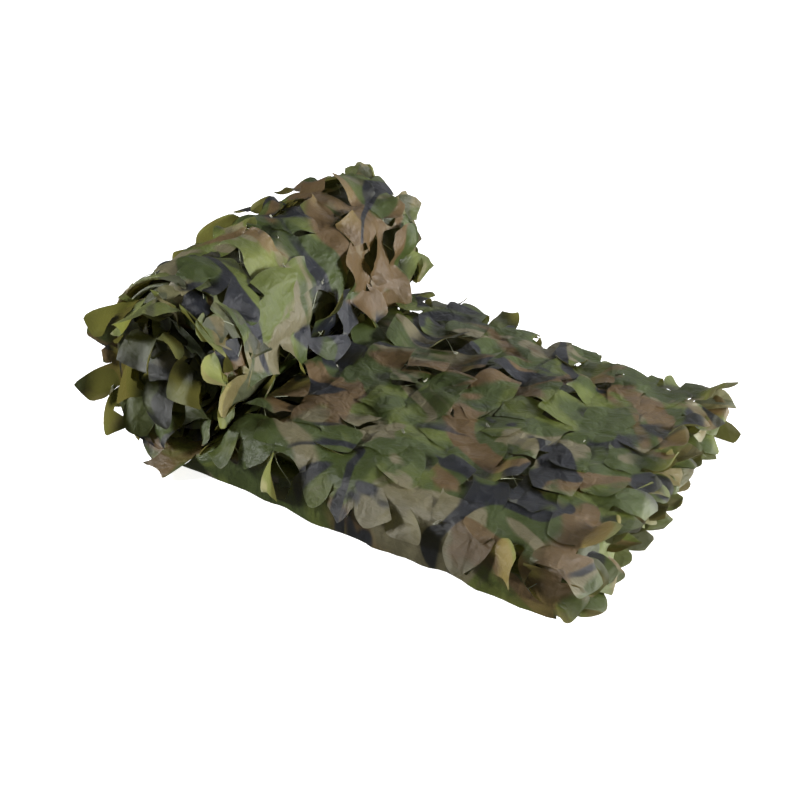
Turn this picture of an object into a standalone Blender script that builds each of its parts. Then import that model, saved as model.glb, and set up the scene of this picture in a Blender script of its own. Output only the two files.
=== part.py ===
"""A leaf-cut camouflage net of about 2 m by 3 m, folded lengthwise into six layers and half rolled up.

The folded strip has its own frame: "along" runs from its loose end towards the roll, "across" from its near
side to the far one, and "up" from its underside through the layers. The strip lies flat on the ground as far
as the roll, curls up behind it, over its top and down into its core, so the roll's outside is the strip's
underside. One closed band, the cloth, zigzags through the layers: the outermost layer comes down over the
near side to the ground. Leaves cut free on three sides stand out of it, some over the gap they leave. In the
model +X points from the roll to the loose end, +Y across the strip and +Z up.
"""

import math
import random
from typing import NamedTuple

import bmesh
import bpy
from mathutils import Vector, noise
from mathutils.bvhtree import BVHTree

# The folded strip, in metres
LAYERS = 6
STRIP_WIDTH = 0.50
CLOTH_SHARE = 0.70            # thickness of a layer as a share of the distance between two layers

# The flat part of the strip, from its loose end to the point under the roll's axis
FLAT_LENGTH = 0.657
STACK_HEIGHTS = [             # height of the folded stack
    # along, height
    (0.000, 0.082),
    (0.150, 0.088),
    (0.350, 0.093),
    (0.500, 0.104),
    (0.657, 0.110),
]
FLAT_STATIONS = [0.022, 0.082, 0.148, 0.215, 0.282, 0.350, 0.420, 0.490,
                 0.537, 0.557, 0.582, 0.612, FLAT_LENGTH]

# The rolled part
ROLL_RADIUS = 0.1490          # outside of the first turn, at the ground
ROLL_STACK = 0.0368           # height of the stack where it is wound tight
TURN_GAP = 0.0027
WIND_PITCH = ROLL_STACK + TURN_GAP
TURN_STEPS = [                # the turns and the angle between their stations
    # turns, step in degrees
    (1.0, 20.0),
    (16 / 9, 40.0),
]
ROLL_SAG = 4.0                # power of the superellipse that the roll's lower back sags to
SAG_CONTACT = 0.5             # angle, in radians, over which the sagging roll lies on the ground
ROLL_INSET = 0.018            # the roll's near end stands back from the strip's near side
ROLL_OVERHANG = 0.026         # and its far end stands out past the far side
INSET_ANGLE = 0.9             # angle, in radians, over which the strip shifts sideways into the roll
TELESCOPE = 0.008             # how far the turns slip sideways
NIP_CLEARANCE = 0.0035        # between the flat part and the roll that lies on it
NIP_EASE = 0.03               # length over which that clearance closes to the gap between turns
NIP_REACH = 0.112             # how far in front of the axis the roll overhangs the flat part

# The tip of the leaves at the loose end's near corner, from the centre of the whole net on the ground
STRIP_ORIGIN = Vector((0.4137, -0.2601, 0.0))

# The cloth's line through the layers, as columns across the strip
OUTER_COLUMNS = [0.052, 0.124, 0.196, 0.268, 0.340, 0.413, 0.487]
INNER_COLUMNS = [0.034, 0.485]
NEAR_STEP = 0.016             # the layers' near edges step back from the ground up
NEAR_WRAP = [                 # the outermost layer comes down over the near side to the ground
    # across, height as a share of the stack's, direction of the cloth in degrees
    (0.007, 0.09, 90.0),
    (0.009, 0.42, 84.0),
    (0.019, 0.82, 56.0),
]
FIRST_FOLD = len(NEAR_WRAP) + len(OUTER_COLUMNS)
LAYER_STEP = len(INNER_COLUMNS) + 1
UNDER_START = FIRST_FOLD + 1 + (LAYERS - 2) * LAYER_STEP

# Unevenness
SIDE_WAVER = 0.006
WAVER_LENGTH = 0.12
TELESCOPE_ANGLE = 2.1
LUMP_HEIGHT = 0.006
LUMP_SIZE = 0.09
LUMPY_LENGTH = 0.50           # of the flat part
LUMPY_ARC = (35.0, 262.0)     # of the roll's first turn, in degrees

# Leaves
LEAF_THICKNESS = 0.0030
LEAF_OUTLINE = [              # shares of the leaf's own length and width
    # reach, breadth
    (0.34, 1.00),
    (0.72, 0.80),
    (1.00, 0.22),
]
OPENING = 0.64                # an open leaf's gap as a share of its cell
OPENING_TURN = 0.30           # how far the gap may be turned in its cell, in radians
LEAF_FIT = 0.94               # an open leaf's width as a share of its gap's
ROOT_SHARE = 0.3              # part of the first stretch of a leaf that lies at its root
LONGEST_ROOT = 0.86           # of a hanging leaf, as a share of its cell
THICKEST_ROOT = 0.80
TRIES = 12                    # how often a leaf that touches something is drawn again
SEED = 11

CLOTH_COLOUR = (0.115, 0.150, 0.062, 1.0)
CLOTH_ROUGHNESS = 0.62


class LeafRow(NamedTuple):
    """Like leaves: the cells they grow from, and their size and bend in metres and degrees."""
    columns: tuple            # of the cloth's line through the layers
    stations: range           # along the strip
    every: int                # one cell in so many has a leaf; at the loose end, the leaves on each cell
    length: float
    width: float
    rise: float
    curl: float

    def drawn(self, chance):
        """Size, rise, curl and twist of one leaf."""
        size = (self.length * chance.uniform(0.8, 1.2), self.width * chance.uniform(0.88, 1.12))
        rise = math.radians(self.rise + chance.uniform(-16, 16))
        curl = math.radians(self.curl + chance.uniform(-30, 30))
        return size, rise, curl, chance.uniform(-0.5, 0.5)


TOP = tuple(range(len(NEAR_WRAP) - 1, FIRST_FOLD - 1))
UNDER = tuple(range(UNDER_START, UNDER_START + len(OUTER_COLUMNS) - 1))
BETWEEN = tuple(range(FIRST_FOLD + 1, UNDER_START, LAYER_STEP))
FAR_FOLDS = tuple(range(FIRST_FOLD - 1, UNDER_START, 2 * LAYER_STEP))
NEAR_SIDE = (1,)
OPEN_LEAVES = [
    LeafRow(TOP, range(0, 7), 4, 0.050, 0.042, 38.0, 40.0),
]
LAID_LEAVES = [               # these lean over the roll and cover their gaps, which stay uncut
    LeafRow(UNDER, range(15, 26), 3, 0.056, 0.050, 62.0, 50.0),
]
SIDE_LEAVES = [
    LeafRow(FAR_FOLDS[:1], range(0, 9), 1, 0.032, 0.042, 10.0, -30.0),
    LeafRow(FAR_FOLDS[1:2], range(1, 9), 2, 0.026, 0.040, 0.0, -30.0),
    LeafRow(NEAR_SIDE, range(0, 9), 2, 0.024, 0.042, 46.0, -10.0),
    LeafRow(NEAR_SIDE, range(13, 31), 2, 0.046, 0.044, 30.0, 60.0),
    LeafRow(NEAR_SIDE, range(31, 39), 2, 0.034, 0.036, 20.0, 50.0),
    LeafRow(FAR_FOLDS, range(14, 31), 2, 0.036, 0.040, 0.0, 30.0),
]
END_LEAVES = [
    LeafRow((0, 1), range(1), 1, 0.024, 0.030, -6.0, -30.0),
    LeafRow(TOP[1:] + UNDER, range(1), 1, 0.028, 0.046, -6.0, -30.0),
    LeafRow(BETWEEN, range(1), 4, 0.026, 0.050, -4.0, -20.0),
]


def between(table, at):
    """Read a two-column table at a place, in straight lines between its rows."""
    for (x0, y0), (x1, y1) in zip(table, table[1:]):
        if at <= x1:
            return y0 + (y1 - y0) * (at - x0) / (x1 - x0)
    return table[-1][1]


def waver(a, b, row):
    """Smooth unevenness between about -1 and 1."""
    return 1.6 * noise.noise(Vector((a, b, 3.7 * row)))


def turn_angle(along):
    """How far the strip has turned round the roll's axis, in radians, from the ground."""
    middle = ROLL_RADIUS - ROLL_STACK / 2
    wound = max(0.0, along - FLAT_LENGTH)
    return (middle - math.sqrt(middle ** 2 - WIND_PITCH * wound / math.pi)) / (WIND_PITCH / math.tau)


def wound_length(angle):
    """Length along the strip at an angle round the roll."""
    middle = ROLL_RADIUS - ROLL_STACK / 2
    return FLAT_LENGTH + middle * angle - WIND_PITCH * angle ** 2 / (2 * math.tau)


def stations():
    """Lengths along the strip at which the band has a ring of points."""
    lengths = list(FLAT_STATIONS)
    angle = 0.0
    for turns, step in TURN_STEPS:
        for _ in range(round(turns * 360 / step)):
            angle += math.radians(step)
            lengths.append(wound_length(angle))
    return lengths


def stack_height(along):
    """Height of the six layers: loose in the flat part, squeezed under the roll, tight in it."""
    if along >= FLAT_LENGTH:
        return ROLL_STACK
    height = between(STACK_HEIGHTS, along)
    ahead = FLAT_LENGTH - along
    if ahead < NIP_REACH:
        radius = ROLL_RADIUS - WIND_PITCH
        for _ in range(4):
            radius = ROLL_RADIUS - WIND_PITCH * (1 - math.asin(min(1.0, ahead / radius)) / math.tau)
        roll_underside = ROLL_RADIUS - math.sqrt(radius ** 2 - ahead ** 2)
        gap = TURN_GAP + (NIP_CLEARANCE - TURN_GAP) * min(1.0, ahead / NIP_EASE)
        height = min(height, roll_underside - gap)
    return height


def sagged(angle):
    """How much further out the roll reaches at an angle, because its lower back sags on the ground."""
    turned = angle % math.tau
    if turned >= math.pi / 2:
        return 1.0
    return (math.cos(turned) ** ROLL_SAG + math.sin(turned) ** ROLL_SAG) ** (-1 / ROLL_SAG)


def place(along, across, up):
    """A point of the strip's own frame in the model's."""
    angle = turn_angle(along)
    if angle <= 0.0:
        x, z = -along, up
    else:
        radius = (ROLL_RADIUS - WIND_PITCH * angle / math.tau - up) * sagged(angle)
        x = -FLAT_LENGTH - radius * math.sin(angle)
        z = ROLL_RADIUS - radius * math.cos(angle)
    return STRIP_ORIGIN + Vector((x, across, z))


def side_shift(along, across):
    """Sideways slip of the strip: wavering edges, and turns that are not quite flush."""
    angle = turn_angle(along)
    near = SIDE_WAVER * waver(along / WAVER_LENGTH, 0.0, 1)
    far = SIDE_WAVER * waver(along / WAVER_LENGTH, 5.0, 2)
    rolled = min(1.0, max(0.0, angle - SAG_CONTACT) / INSET_ANGLE)
    near += rolled * (ROLL_INSET + TELESCOPE * waver(angle / TELESCOPE_ANGLE, 0.0, 3))
    far += rolled * (ROLL_OVERHANG + TELESCOPE * waver(angle / TELESCOPE_ANGLE, 9.0, 4))
    share = across / STRIP_WIDTH
    return near * (1 - share) + far * share


def cloth_line(along):
    """The cloth's middle line through the layers at a station, and half the cloth's thickness.

    Each point is its place across, its height and the cloth's direction in degrees. The line starts on the
    ground at the near side, runs up and over the top layer, and then back and forth down to the lowest one.
    """
    height = stack_height(along)
    pitch = height / (LAYERS - 1 + CLOTH_SHARE)
    half = CLOTH_SHARE * pitch / 2
    line = [(across, max(half, share * height), heading) for across, share, heading in NEAR_WRAP]
    for layer in range(LAYERS):
        up = height - half - layer * pitch
        far_bound = layer % 2 == 0
        columns = OUTER_COLUMNS if layer in (0, LAYERS - 1) else INNER_COLUMNS
        step_back = NEAR_STEP * (LAYERS - 1 - layer) / LAYERS if layer else 0.0
        for across in columns if far_bound else reversed(columns):
            across += step_back * (1 - across / STRIP_WIDTH)
            line.append((across, up, 0.0 if far_bound else 180.0))
        if layer < LAYERS - 1:
            fold = pitch / 2 if far_bound else -pitch / 2
            line.append((line[-1][0] + fold, up - pitch / 2, -90.0))
    return line, half


def lump(along, across, index):
    """How far the loose leaves push the cloth's outer face out, where that face lies open."""
    if index < FIRST_FOLD:
        open_air = index > 0 and along < LUMPY_LENGTH
    else:
        degrees = math.degrees(turn_angle(along))
        open_air = index >= UNDER_START and LUMPY_ARC[0] < degrees < LUMPY_ARC[1]
    if not open_air:
        return 0.0
    return max(0.0, LUMP_HEIGHT * (0.5 + 0.5 * waver(along / LUMP_SIZE, across / LUMP_SIZE, 7)))


def station_ring(along):
    """Points of the cloth's outer and inner faces at a station. The outer face lies open on top."""
    line, half = cloth_line(along)
    outer, inner = [], []
    for index, (across, up, heading) in enumerate(line):
        turn = math.radians(heading)
        out_across, out_up = -math.sin(turn), math.cos(turn)
        slip = side_shift(along, across)
        reach = half + lump(along, across, index)
        outer.append(place(along, across + out_across * reach + slip, max(0.0, up + out_up * reach)))
        inner.append(place(along, across - out_across * half + slip, up - out_up * half))
    return outer, inner


def build_band(mesh):
    """The folded and rolled cloth as one closed band, and its cells' corners by side, station and column."""
    rings = []
    for along in stations():
        outer, inner = station_ring(along)
        rings.append(([mesh.verts.new(p) for p in outer], [mesh.verts.new(p) for p in inner]))
    cells = {}
    columns = len(rings[0][0])
    for k, (here, there) in enumerate(zip(rings, rings[1:])):
        for side, name in enumerate(("outer", "inner")):
            for i in range(columns - 1):
                cells[name, k, i] = [here[side][i], there[side][i], there[side][i + 1], here[side][i + 1]]
                mesh.faces.new(cells[name, k, i])
        for i in (0, columns - 1):
            mesh.faces.new((here[0][i], there[0][i], there[1][i], here[1][i]))
    for k, (outer, inner) in ((0, rings[0]), (len(rings) - 1, rings[-1])):
        for i in range(columns - 1):
            cells["end", k, i] = [outer[i], outer[i + 1], inner[i + 1], inner[i]]
            mesh.faces.new(cells["end", k, i])
    return cells


def leaf_rings(root, forward, outward, size, rise, curl, twist):
    """Points of a leaf, four to a ring, from its root's two upper points and two lower ones."""
    length, width = size
    centre = sum(root, Vector()) / 4
    across = (root[1] - root[0]).normalized()
    facing = 1.0 if across.cross(forward).dot(outward) > 0 else -1.0
    rings = []
    before = 0.0
    for reach, breadth in LEAF_OUTLINE:
        tilt = rise + curl * (reach - 0.5)
        ahead = forward * math.cos(tilt) + outward * math.sin(tilt)
        centre = centre + ahead * length * (reach - before)
        lean = twist * reach
        side = across * math.cos(lean) + ahead.cross(across) * math.sin(lean)
        half = side * (breadth * width / 2)
        thick = side.cross(ahead) * (facing * LEAF_THICKNESS / 2)
        rings.append((centre - half + thick, centre + half + thick, centre + half - thick, centre - half - thick))
        before = reach
    return rings


def is_clear(solid, root, rings):
    """Whether a leaf with these rings meets nothing of the solid that it grows from."""
    start = [a.lerp(b, ROOT_SHARE) for a, b in zip(root, rings[0])]
    points = [point for ring in (start, *rings) for point in ring]
    sides = [(4 * row + j, 4 * row + (j + 1) % 4, 4 * row + 4 + (j + 1) % 4, 4 * row + 4 + j)
             for row in range(len(rings)) for j in range(4)]
    lowest = min(point.z for point in points)
    return lowest > LEAF_THICKNESS / 2 and not BVHTree.FromPolygons(points, sides).overlap(solid)


def grow_leaf(mesh, root, rings):
    """Join a leaf's rings to its root and close its tip."""
    ring = root
    for points in rings:
        grown = [mesh.verts.new(point) for point in points]
        for j in range(4):
            mesh.faces.new((ring[j], ring[(j + 1) % 4], grown[(j + 1) % 4], grown[j]))
        ring = grown
    mesh.faces.new(ring)


def turned_quad(corners, share_a, share_b, turn):
    """A quad in the middle of a four-cornered cell, its sides given as shares of the cell's sides."""
    points = []
    for a, b in ((-0.5, -0.5), (0.5, -0.5), (0.5, 0.5), (-0.5, 0.5)):
        a, b = a * math.cos(turn) - b * math.sin(turn), a * math.sin(turn) + b * math.cos(turn)
        first = corners[0].co.lerp(corners[1].co, 0.5 + a * share_a)
        last = corners[3].co.lerp(corners[2].co, 0.5 + a * share_a)
        points.append(first.lerp(last, 0.5 + b * share_b))
    return points


def frame_opening(mesh, corners, points):
    """Replace a four-cornered cell by a ring round an inner quad, and return the quad's corners."""
    mesh.faces.remove(mesh.faces.get(corners))
    inner = [mesh.verts.new(point) for point in points]
    for j in range(4):
        mesh.faces.new((corners[j], corners[(j + 1) % 4], inner[(j + 1) % 4], inner[j]))
    return inner


def solid_with_openings(mesh, cells, openings):
    """The solid as a search tree, with the given cells replaced by rings round their openings."""
    replaced = {mesh.faces.get(corners) for corners in cells}
    mesh.verts.index_update()
    points = [vert.co for vert in mesh.verts]
    polygons = [[vert.index for vert in face.verts] for face in mesh.faces if face not in replaced]
    for corners, opening in zip(cells, openings):
        start = len(points)
        points += [corner.co for corner in corners] + opening
        for j in range(4):
            after = (j + 1) % 4
            polygons.append((start + j, start + after, start + 4 + after, start + 4 + j))
    return BVHTree.FromPolygons(points, polygons)


def open_leaf(mesh, outer, inner, leaf, chance):
    """Cut a gap through the cloth in one cell and stand its leaf up from one edge of the gap."""
    outward = sum((v.co for v in outer), Vector()) - sum((v.co for v in inner), Vector())
    outward.normalize()
    turn = chance.uniform(-OPENING_TURN, OPENING_TURN)
    top = turned_quad(outer, OPENING, OPENING, turn)
    low = turned_quad(inner, OPENING, OPENING, turn)
    solid = solid_with_openings(mesh, (outer, inner), (top, low))
    for _ in range(TRIES):
        hinge = chance.randrange(4)
        start, stop = hinge, (hinge + 1) % 4
        root = [top[start], top[stop], low[stop], low[start]]
        over = top[(hinge + 2) % 4] + top[(hinge + 3) % 4] - root[0] - root[1]
        over -= outward * over.dot(outward)
        (length, _), rise, curl, twist = leaf.drawn(chance)
        width = LEAF_FIT * (root[1] - root[0]).length
        rings = leaf_rings(root, over.normalized(), outward, (length, width), rise, curl, twist)
        walls = [(j, (j + 1) % 4, 4 + (j + 1) % 4, 4 + j) for j in range(4) if j != hinge]
        if is_clear(solid, root, rings) and is_clear(BVHTree.FromPolygons(top + low, walls), root, rings):
            top = frame_opening(mesh, outer, top)
            low = frame_opening(mesh, inner, low)
            for wall in walls:
                mesh.faces.new([(top + low)[corner] for corner in wall])
            grow_leaf(mesh, [top[start], top[stop], low[stop], low[start]], rings)
            return True
    return False


def side_leaf(mesh, corners, leaf, chance):
    """Grow a leaf out of a whole cell, its root along the cell's first edge."""
    solid = solid_with_openings(mesh, (corners,), ())
    long = corners[1].co - corners[0].co
    deep = corners[3].co - corners[0].co
    forward = mesh.faces.get(corners).normal.copy()
    outward = (forward * deep.dot(forward) - deep).normalized()
    for _ in range(TRIES):
        size, rise, curl, twist = leaf.drawn(chance)
        share_a = min(LONGEST_ROOT, size[1] / long.length)
        share_b = min(THICKEST_ROOT, LEAF_THICKNESS / deep.length)
        root = turned_quad(corners, share_a, share_b, 0.0)
        rings = leaf_rings(root, forward, outward, size, rise, curl, twist)
        if is_clear(solid, root, rings):
            grow_leaf(mesh, frame_opening(mesh, corners, root), rings)
            return True
    return False


def parted(mesh, start, stop, count):
    """Part the edge between two points into equal lengths, and return all the points in order."""
    points = [start]
    for left in range(count, 1, -1):
        edge = mesh.edges.get((points[-1], stop))
        points.append(bmesh.utils.edge_split(edge, points[-1], 1 / left)[1])
    return points + [stop]


def parted_cells(mesh, corners, count):
    """Part a cell on the strip's loose end into as many as are asked for."""
    if count == 1:
        return [corners]
    upper = parted(mesh, corners[0], corners[1], count)
    lower = parted(mesh, corners[3], corners[2], count)
    mesh.faces.remove(mesh.faces.get(upper + lower[::-1]))
    cells = []
    for i in range(count):
        cells.append([upper[i], upper[i + 1], lower[i + 1], lower[i]])
        mesh.faces.new(cells[-1])
    return cells


def dress_with_leaves(mesh, cells):
    """Stand leaves on the strip's faces, some over gaps, and hang the rest from its sides and loose end."""
    chance = random.Random(SEED)
    grown = 0
    for leaf in OPEN_LEAVES:
        for k in leaf.stations:
            for i in leaf.columns:
                if (k + i) % leaf.every == 0:
                    grown += open_leaf(mesh, cells["outer", k, i], cells["inner", k, i], leaf, chance)
    for leaf in LAID_LEAVES:
        for k in leaf.stations:
            for i in leaf.columns:
                if (k + i) % leaf.every == 0:
                    cell = cells["outer", k, i]
                    hinge = chance.randrange(4)
                    grown += side_leaf(mesh, cell[hinge:] + cell[:hinge], leaf, chance)
    for leaf in SIDE_LEAVES:
        for i in leaf.columns:
            for k in leaf.stations:
                if (k + i) % leaf.every == 0:
                    grown += side_leaf(mesh, cells["outer", k, i], leaf, chance)
    for leaf in END_LEAVES:
        for i in leaf.columns:
            for corners in parted_cells(mesh, cells["end", 0, i], leaf.every):
                mesh.normal_update()
                grown += side_leaf(mesh, corners, leaf, chance)
    return grown


def cloth_material():
    """Printed woven polyester, matt with a slight satin."""
    material = bpy.data.materials.new("camouflage_cloth")
    material.use_nodes = True
    shader = material.node_tree.nodes["Principled BSDF"]
    shader.inputs["Base Color"].default_value = CLOTH_COLOUR
    shader.inputs["Roughness"].default_value = CLOTH_ROUGHNESS
    shader.inputs["Metallic"].default_value = 0.0
    return material


def build_net():
    """The whole net as one closed solid."""
    mesh = bmesh.new()
    cells = build_band(mesh)
    bmesh.ops.recalc_face_normals(mesh, faces=mesh.faces)
    grown = dress_with_leaves(mesh, cells)
    bmesh.ops.recalc_face_normals(mesh, faces=mesh.faces)
    bmesh.ops.triangulate(mesh, faces=mesh.faces)
    data = bpy.data.meshes.new("net")
    mesh.to_mesh(data)
    mesh.free()
    data.materials.append(cloth_material())
    net = bpy.data.objects.new("net", data)
    bpy.context.scene.collection.objects.link(net)
    print(f"net: {grown} leaves, {len(data.polygons)} triangles")


for thing in list(bpy.data.objects):
    bpy.data.objects.remove(thing)
build_net()
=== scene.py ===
"""A leaf-cut camouflage net, folded lengthwise into six layers and half rolled up.

The cloth is cut flat first, with all its leaves, then folded, rolled and its leaves bent. On the flat sheet
"along" runs from the loose end of the folded strip into the roll, and "width" from the sheet's edge on the
ground, up the near side, over the top layer and back and forth down to the lowest one.
"""

import math
import random

import bpy
import numpy as np
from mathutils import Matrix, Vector, geometry, kdtree, noise


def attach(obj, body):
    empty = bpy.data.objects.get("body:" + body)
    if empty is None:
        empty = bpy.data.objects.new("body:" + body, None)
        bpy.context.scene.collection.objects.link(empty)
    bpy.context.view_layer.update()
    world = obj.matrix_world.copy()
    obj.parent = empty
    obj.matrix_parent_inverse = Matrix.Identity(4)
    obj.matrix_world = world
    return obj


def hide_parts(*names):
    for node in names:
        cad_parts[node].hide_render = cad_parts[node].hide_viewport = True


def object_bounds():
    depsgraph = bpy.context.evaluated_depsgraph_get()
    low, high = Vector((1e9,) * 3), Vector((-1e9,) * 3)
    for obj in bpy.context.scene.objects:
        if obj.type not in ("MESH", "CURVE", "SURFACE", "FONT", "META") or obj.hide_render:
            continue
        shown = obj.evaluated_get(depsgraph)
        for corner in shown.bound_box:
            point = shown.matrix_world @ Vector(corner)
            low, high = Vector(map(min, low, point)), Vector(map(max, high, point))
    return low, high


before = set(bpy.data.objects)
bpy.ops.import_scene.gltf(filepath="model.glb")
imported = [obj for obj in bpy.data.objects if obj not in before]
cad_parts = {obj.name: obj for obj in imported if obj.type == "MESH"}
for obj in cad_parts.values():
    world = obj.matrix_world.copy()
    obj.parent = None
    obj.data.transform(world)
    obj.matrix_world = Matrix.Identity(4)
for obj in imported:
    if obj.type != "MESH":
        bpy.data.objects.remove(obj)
cad_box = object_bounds()


# --- Camera -------------------------------------------------------------------------------------------------
# It stands in front of the loose end's near corner, where the folded strip runs away from it to the roll, and
# looks down on both.

VIEW_TARGET = Vector((0.0337, -0.0679, 0.100))
VIEW_AZIMUTH = math.radians(32.5)
VIEW_ELEVATION = math.radians(32.5)
VIEW_DISTANCE = 1.638
VIEW_LENS = 52.2
VIEW_SENSOR = 36.0


def add_object(name, data):
    """A new object in the scene."""
    added = bpy.data.objects.new(name, data)
    bpy.context.scene.collection.objects.link(added)
    return added


back = Vector((math.sin(VIEW_AZIMUTH) * math.cos(VIEW_ELEVATION),
               -math.cos(VIEW_AZIMUTH) * math.cos(VIEW_ELEVATION),
               math.sin(VIEW_ELEVATION)))
camera = add_object("camera", bpy.data.cameras.new("camera"))
camera.data.lens = VIEW_LENS
camera.data.sensor_width = VIEW_SENSOR
camera.location = VIEW_TARGET + back * VIEW_DISTANCE
camera.rotation_euler = back.to_track_quat("Z", "Y").to_euler()
bpy.context.scene.camera = camera
bpy.context.scene.view_settings.view_transform = "Standard"


# --- Leaf-cut cloth: how it is folded and rolled ------------------------------------------------------------
# One sheet of printed polyester, about 2 m by 3 m, folded into a strip of six layers. The strip lies flat at
# its loose end and is rolled up on itself at the other. The sizes down to its origin are the solid's own.

LAYERS = 6
STRIP_WIDTH = 0.50
CLOTH_SHARE = 0.70            # of each layer's height; the rest is air
FLAT_LENGTH = 0.657
STACK_HEIGHTS = [(0.0, 0.082), (0.15, 0.088), (0.35, 0.093), (0.5, 0.104), (0.657, 0.110)]
ROLL_RADIUS = 0.1490
ROLL_STACK = 0.0368           # height of the six layers in the roll
TURN_GAP = 0.0027             # between one turn and the next
WIND_PITCH = ROLL_STACK + TURN_GAP
ROLL_SAG = 4.0                # power of the curve that the roll's foot sags to
SAG_CONTACT = 0.5             # angles from the ground: where the roll's sides begin to slip sideways,
INSET_ANGLE = 0.9             # and over how much more of the turn they do
ROLL_INSET = 0.018
ROLL_OVERHANG = 0.026
TELESCOPE = 0.008
TELESCOPE_ANGLE = 2.1
NIP_CLEARANCE = 0.0035        # between the roll and the strip that runs in under it
NIP_EASE = 0.03
NIP_REACH = 0.112
SIDE_WAVER = 0.006
WAVER_LENGTH = 0.12
STRIP_ORIGIN = np.array((0.4137, -0.2601, 0.0))     # the loose end's near corner, on the ground

SHEET_LENGTH = 1.970
OUTER_TURN = 1.345            # where the roll's outer turn ends, along the sheet
WRAP_WIDTH = 0.100            # part of the sheet's width that comes down over the near side
WRAP_ACROSS = 0.056           # where the top layer starts
WRAP_FULLNESS = 0.85          # how upright the near side stands
NEAR_EDGES = [WRAP_ACROSS, 0.044, 0.0415, 0.039, 0.0365, 0.030]
FAR_EDGE = 0.484
FOLD_WIDTH = 0.026            # part of the sheet's width that is in each fold
FOLD_BULGE = 0.6              # how far a fold stands out, as a share of a layer's height
FLOOR_GAP = 0.0006
SKIN = 0.001                  # from the outer faces of the stack to the cloth
TOP_TUCK = 0.007              # how far the exposed cloth lies under the leaves' own level, on the top
ROLL_TUCK = 0.014             # and on the roll
TUCK_ANGLE = 0.7              # of the roll, over which it starts
SINK = 0.012                  # how far the roll's next layers lie inside their even spacing


def waver(a, b, row):
    """Smooth unevenness between about -1 and 1."""
    return 1.6 * noise.noise(Vector((a, b, 3.7 * row)))


def turn_angle(along):
    """How far the strip has turned round the roll's axis, in radians, from the ground."""
    middle = ROLL_RADIUS - ROLL_STACK / 2
    wound = np.maximum(0.0, along - FLAT_LENGTH)
    return (middle - np.sqrt(middle ** 2 - WIND_PITCH * wound / np.pi)) / (WIND_PITCH / math.tau)


def stack_height(along):
    """Height of the six layers at one place: loose in the flat part, squeezed under the roll, tight in it."""
    if along >= FLAT_LENGTH:
        return ROLL_STACK
    height = float(np.interp(along, *zip(*STACK_HEIGHTS)))
    ahead = FLAT_LENGTH - along
    if ahead < NIP_REACH:
        radius = ROLL_RADIUS - WIND_PITCH
        for _ in range(4):
            radius = ROLL_RADIUS - WIND_PITCH * (1 - math.asin(min(1.0, ahead / radius)) / math.tau)
        roll_underside = ROLL_RADIUS - math.sqrt(radius ** 2 - ahead ** 2)
        gap = TURN_GAP + (NIP_CLEARANCE - TURN_GAP) * min(1.0, ahead / NIP_EASE)
        height = min(height, roll_underside - gap)
    return height


def edge_slips(along):
    """How far the strip's near and far sides slip sideways at one place."""
    angle = float(turn_angle(along))
    near = SIDE_WAVER * waver(along / WAVER_LENGTH, 0.0, 1)
    far = SIDE_WAVER * waver(along / WAVER_LENGTH, 5.0, 2)
    rolled = min(1.0, max(0.0, angle - SAG_CONTACT) / INSET_ANGLE)
    near += rolled * (ROLL_INSET + TELESCOPE * waver(angle / TELESCOPE_ANGLE, 0.0, 3))
    far += rolled * (ROLL_OVERHANG + TELESCOPE * waver(angle / TELESCOPE_ANGLE, 9.0, 4))
    return near, far


PLACES = np.linspace(0.0, SHEET_LENGTH, 500)
HEIGHTS = np.array([stack_height(place) for place in PLACES])
NEAR_SLIPS, FAR_SLIPS = np.array([edge_slips(place) for place in PLACES]).T

SPANS = []                    # (first width, last width) of each layer and of the fold that follows it
start = WRAP_WIDTH
for layer in range(LAYERS):
    end = start + FAR_EDGE - NEAR_EDGES[layer]
    SPANS.append((start, end))
    start = end + FOLD_WIDTH
SHEET_WIDTH = end


def fold_point(along, width):
    """Place across the strip and height in it, for points of the flat sheet."""
    height = np.interp(along, PLACES, HEIGHTS)
    pitch = height / (LAYERS - 1 + CLOTH_SHARE)
    half = CLOTH_SHARE * pitch / 2
    level = [height - half - layer * pitch for layer in range(LAYERS)]
    rolled = np.clip(turn_angle(along) / TUCK_ANGLE, 0.0, 1.0)
    level[0] = height - SKIN - TOP_TUCK * (1 - rolled)
    level[-1] = SKIN + ROLL_TUCK * rolled
    inner = rolled * (along < OUTER_TURN)
    t = np.clip(width / WRAP_WIDTH, 0.0, 1.0)
    corners = [(0.010, SKIN), (0.001, WRAP_FULLNESS * level[0]), (0.014, level[0]), (WRAP_ACROSS, level[0])]
    weights = [(1 - t) ** 3, 3 * t * (1 - t) ** 2, 3 * t ** 2 * (1 - t), t ** 3]
    across, up = (sum(weight * corner[k] for weight, corner in zip(weights, corners)) for k in (0, 1))
    for layer, (first, last) in enumerate(SPANS):
        share = (width - first) / (last - first)
        far_bound = layer % 2 == 0
        run = NEAR_EDGES[layer] + (FAR_EDGE - NEAR_EDGES[layer]) * (share if far_bound else 1 - share)
        inside = (width > first) & (width <= last)
        middle = np.clip(4 * share * (1 - share), 0.0, 1.0) if 1 < layer < LAYERS - 1 else 0.0
        across = np.where(inside, run, across)
        up = np.where(inside, level[layer] + SINK * inner * middle, up)
        if layer < LAYERS - 1:
            turn = np.pi * (width - last) / FOLD_WIDTH
            drop = (level[layer] - level[layer + 1]) / 2
            after = turn / np.pi
            edge = FAR_EDGE if far_bound else NEAR_EDGES[layer] * (1 - after) + NEAR_EDGES[layer + 1] * after
            bulge = (FOLD_BULGE * pitch if far_bound else -FOLD_BULGE * pitch) * np.sin(turn)
            inside = (width > last) & (width <= last + FOLD_WIDTH)
            across = np.where(inside, edge + bulge, across)
            up = np.where(inside, level[layer] - drop * (1 - np.cos(turn)), up)
    return across, up


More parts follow.
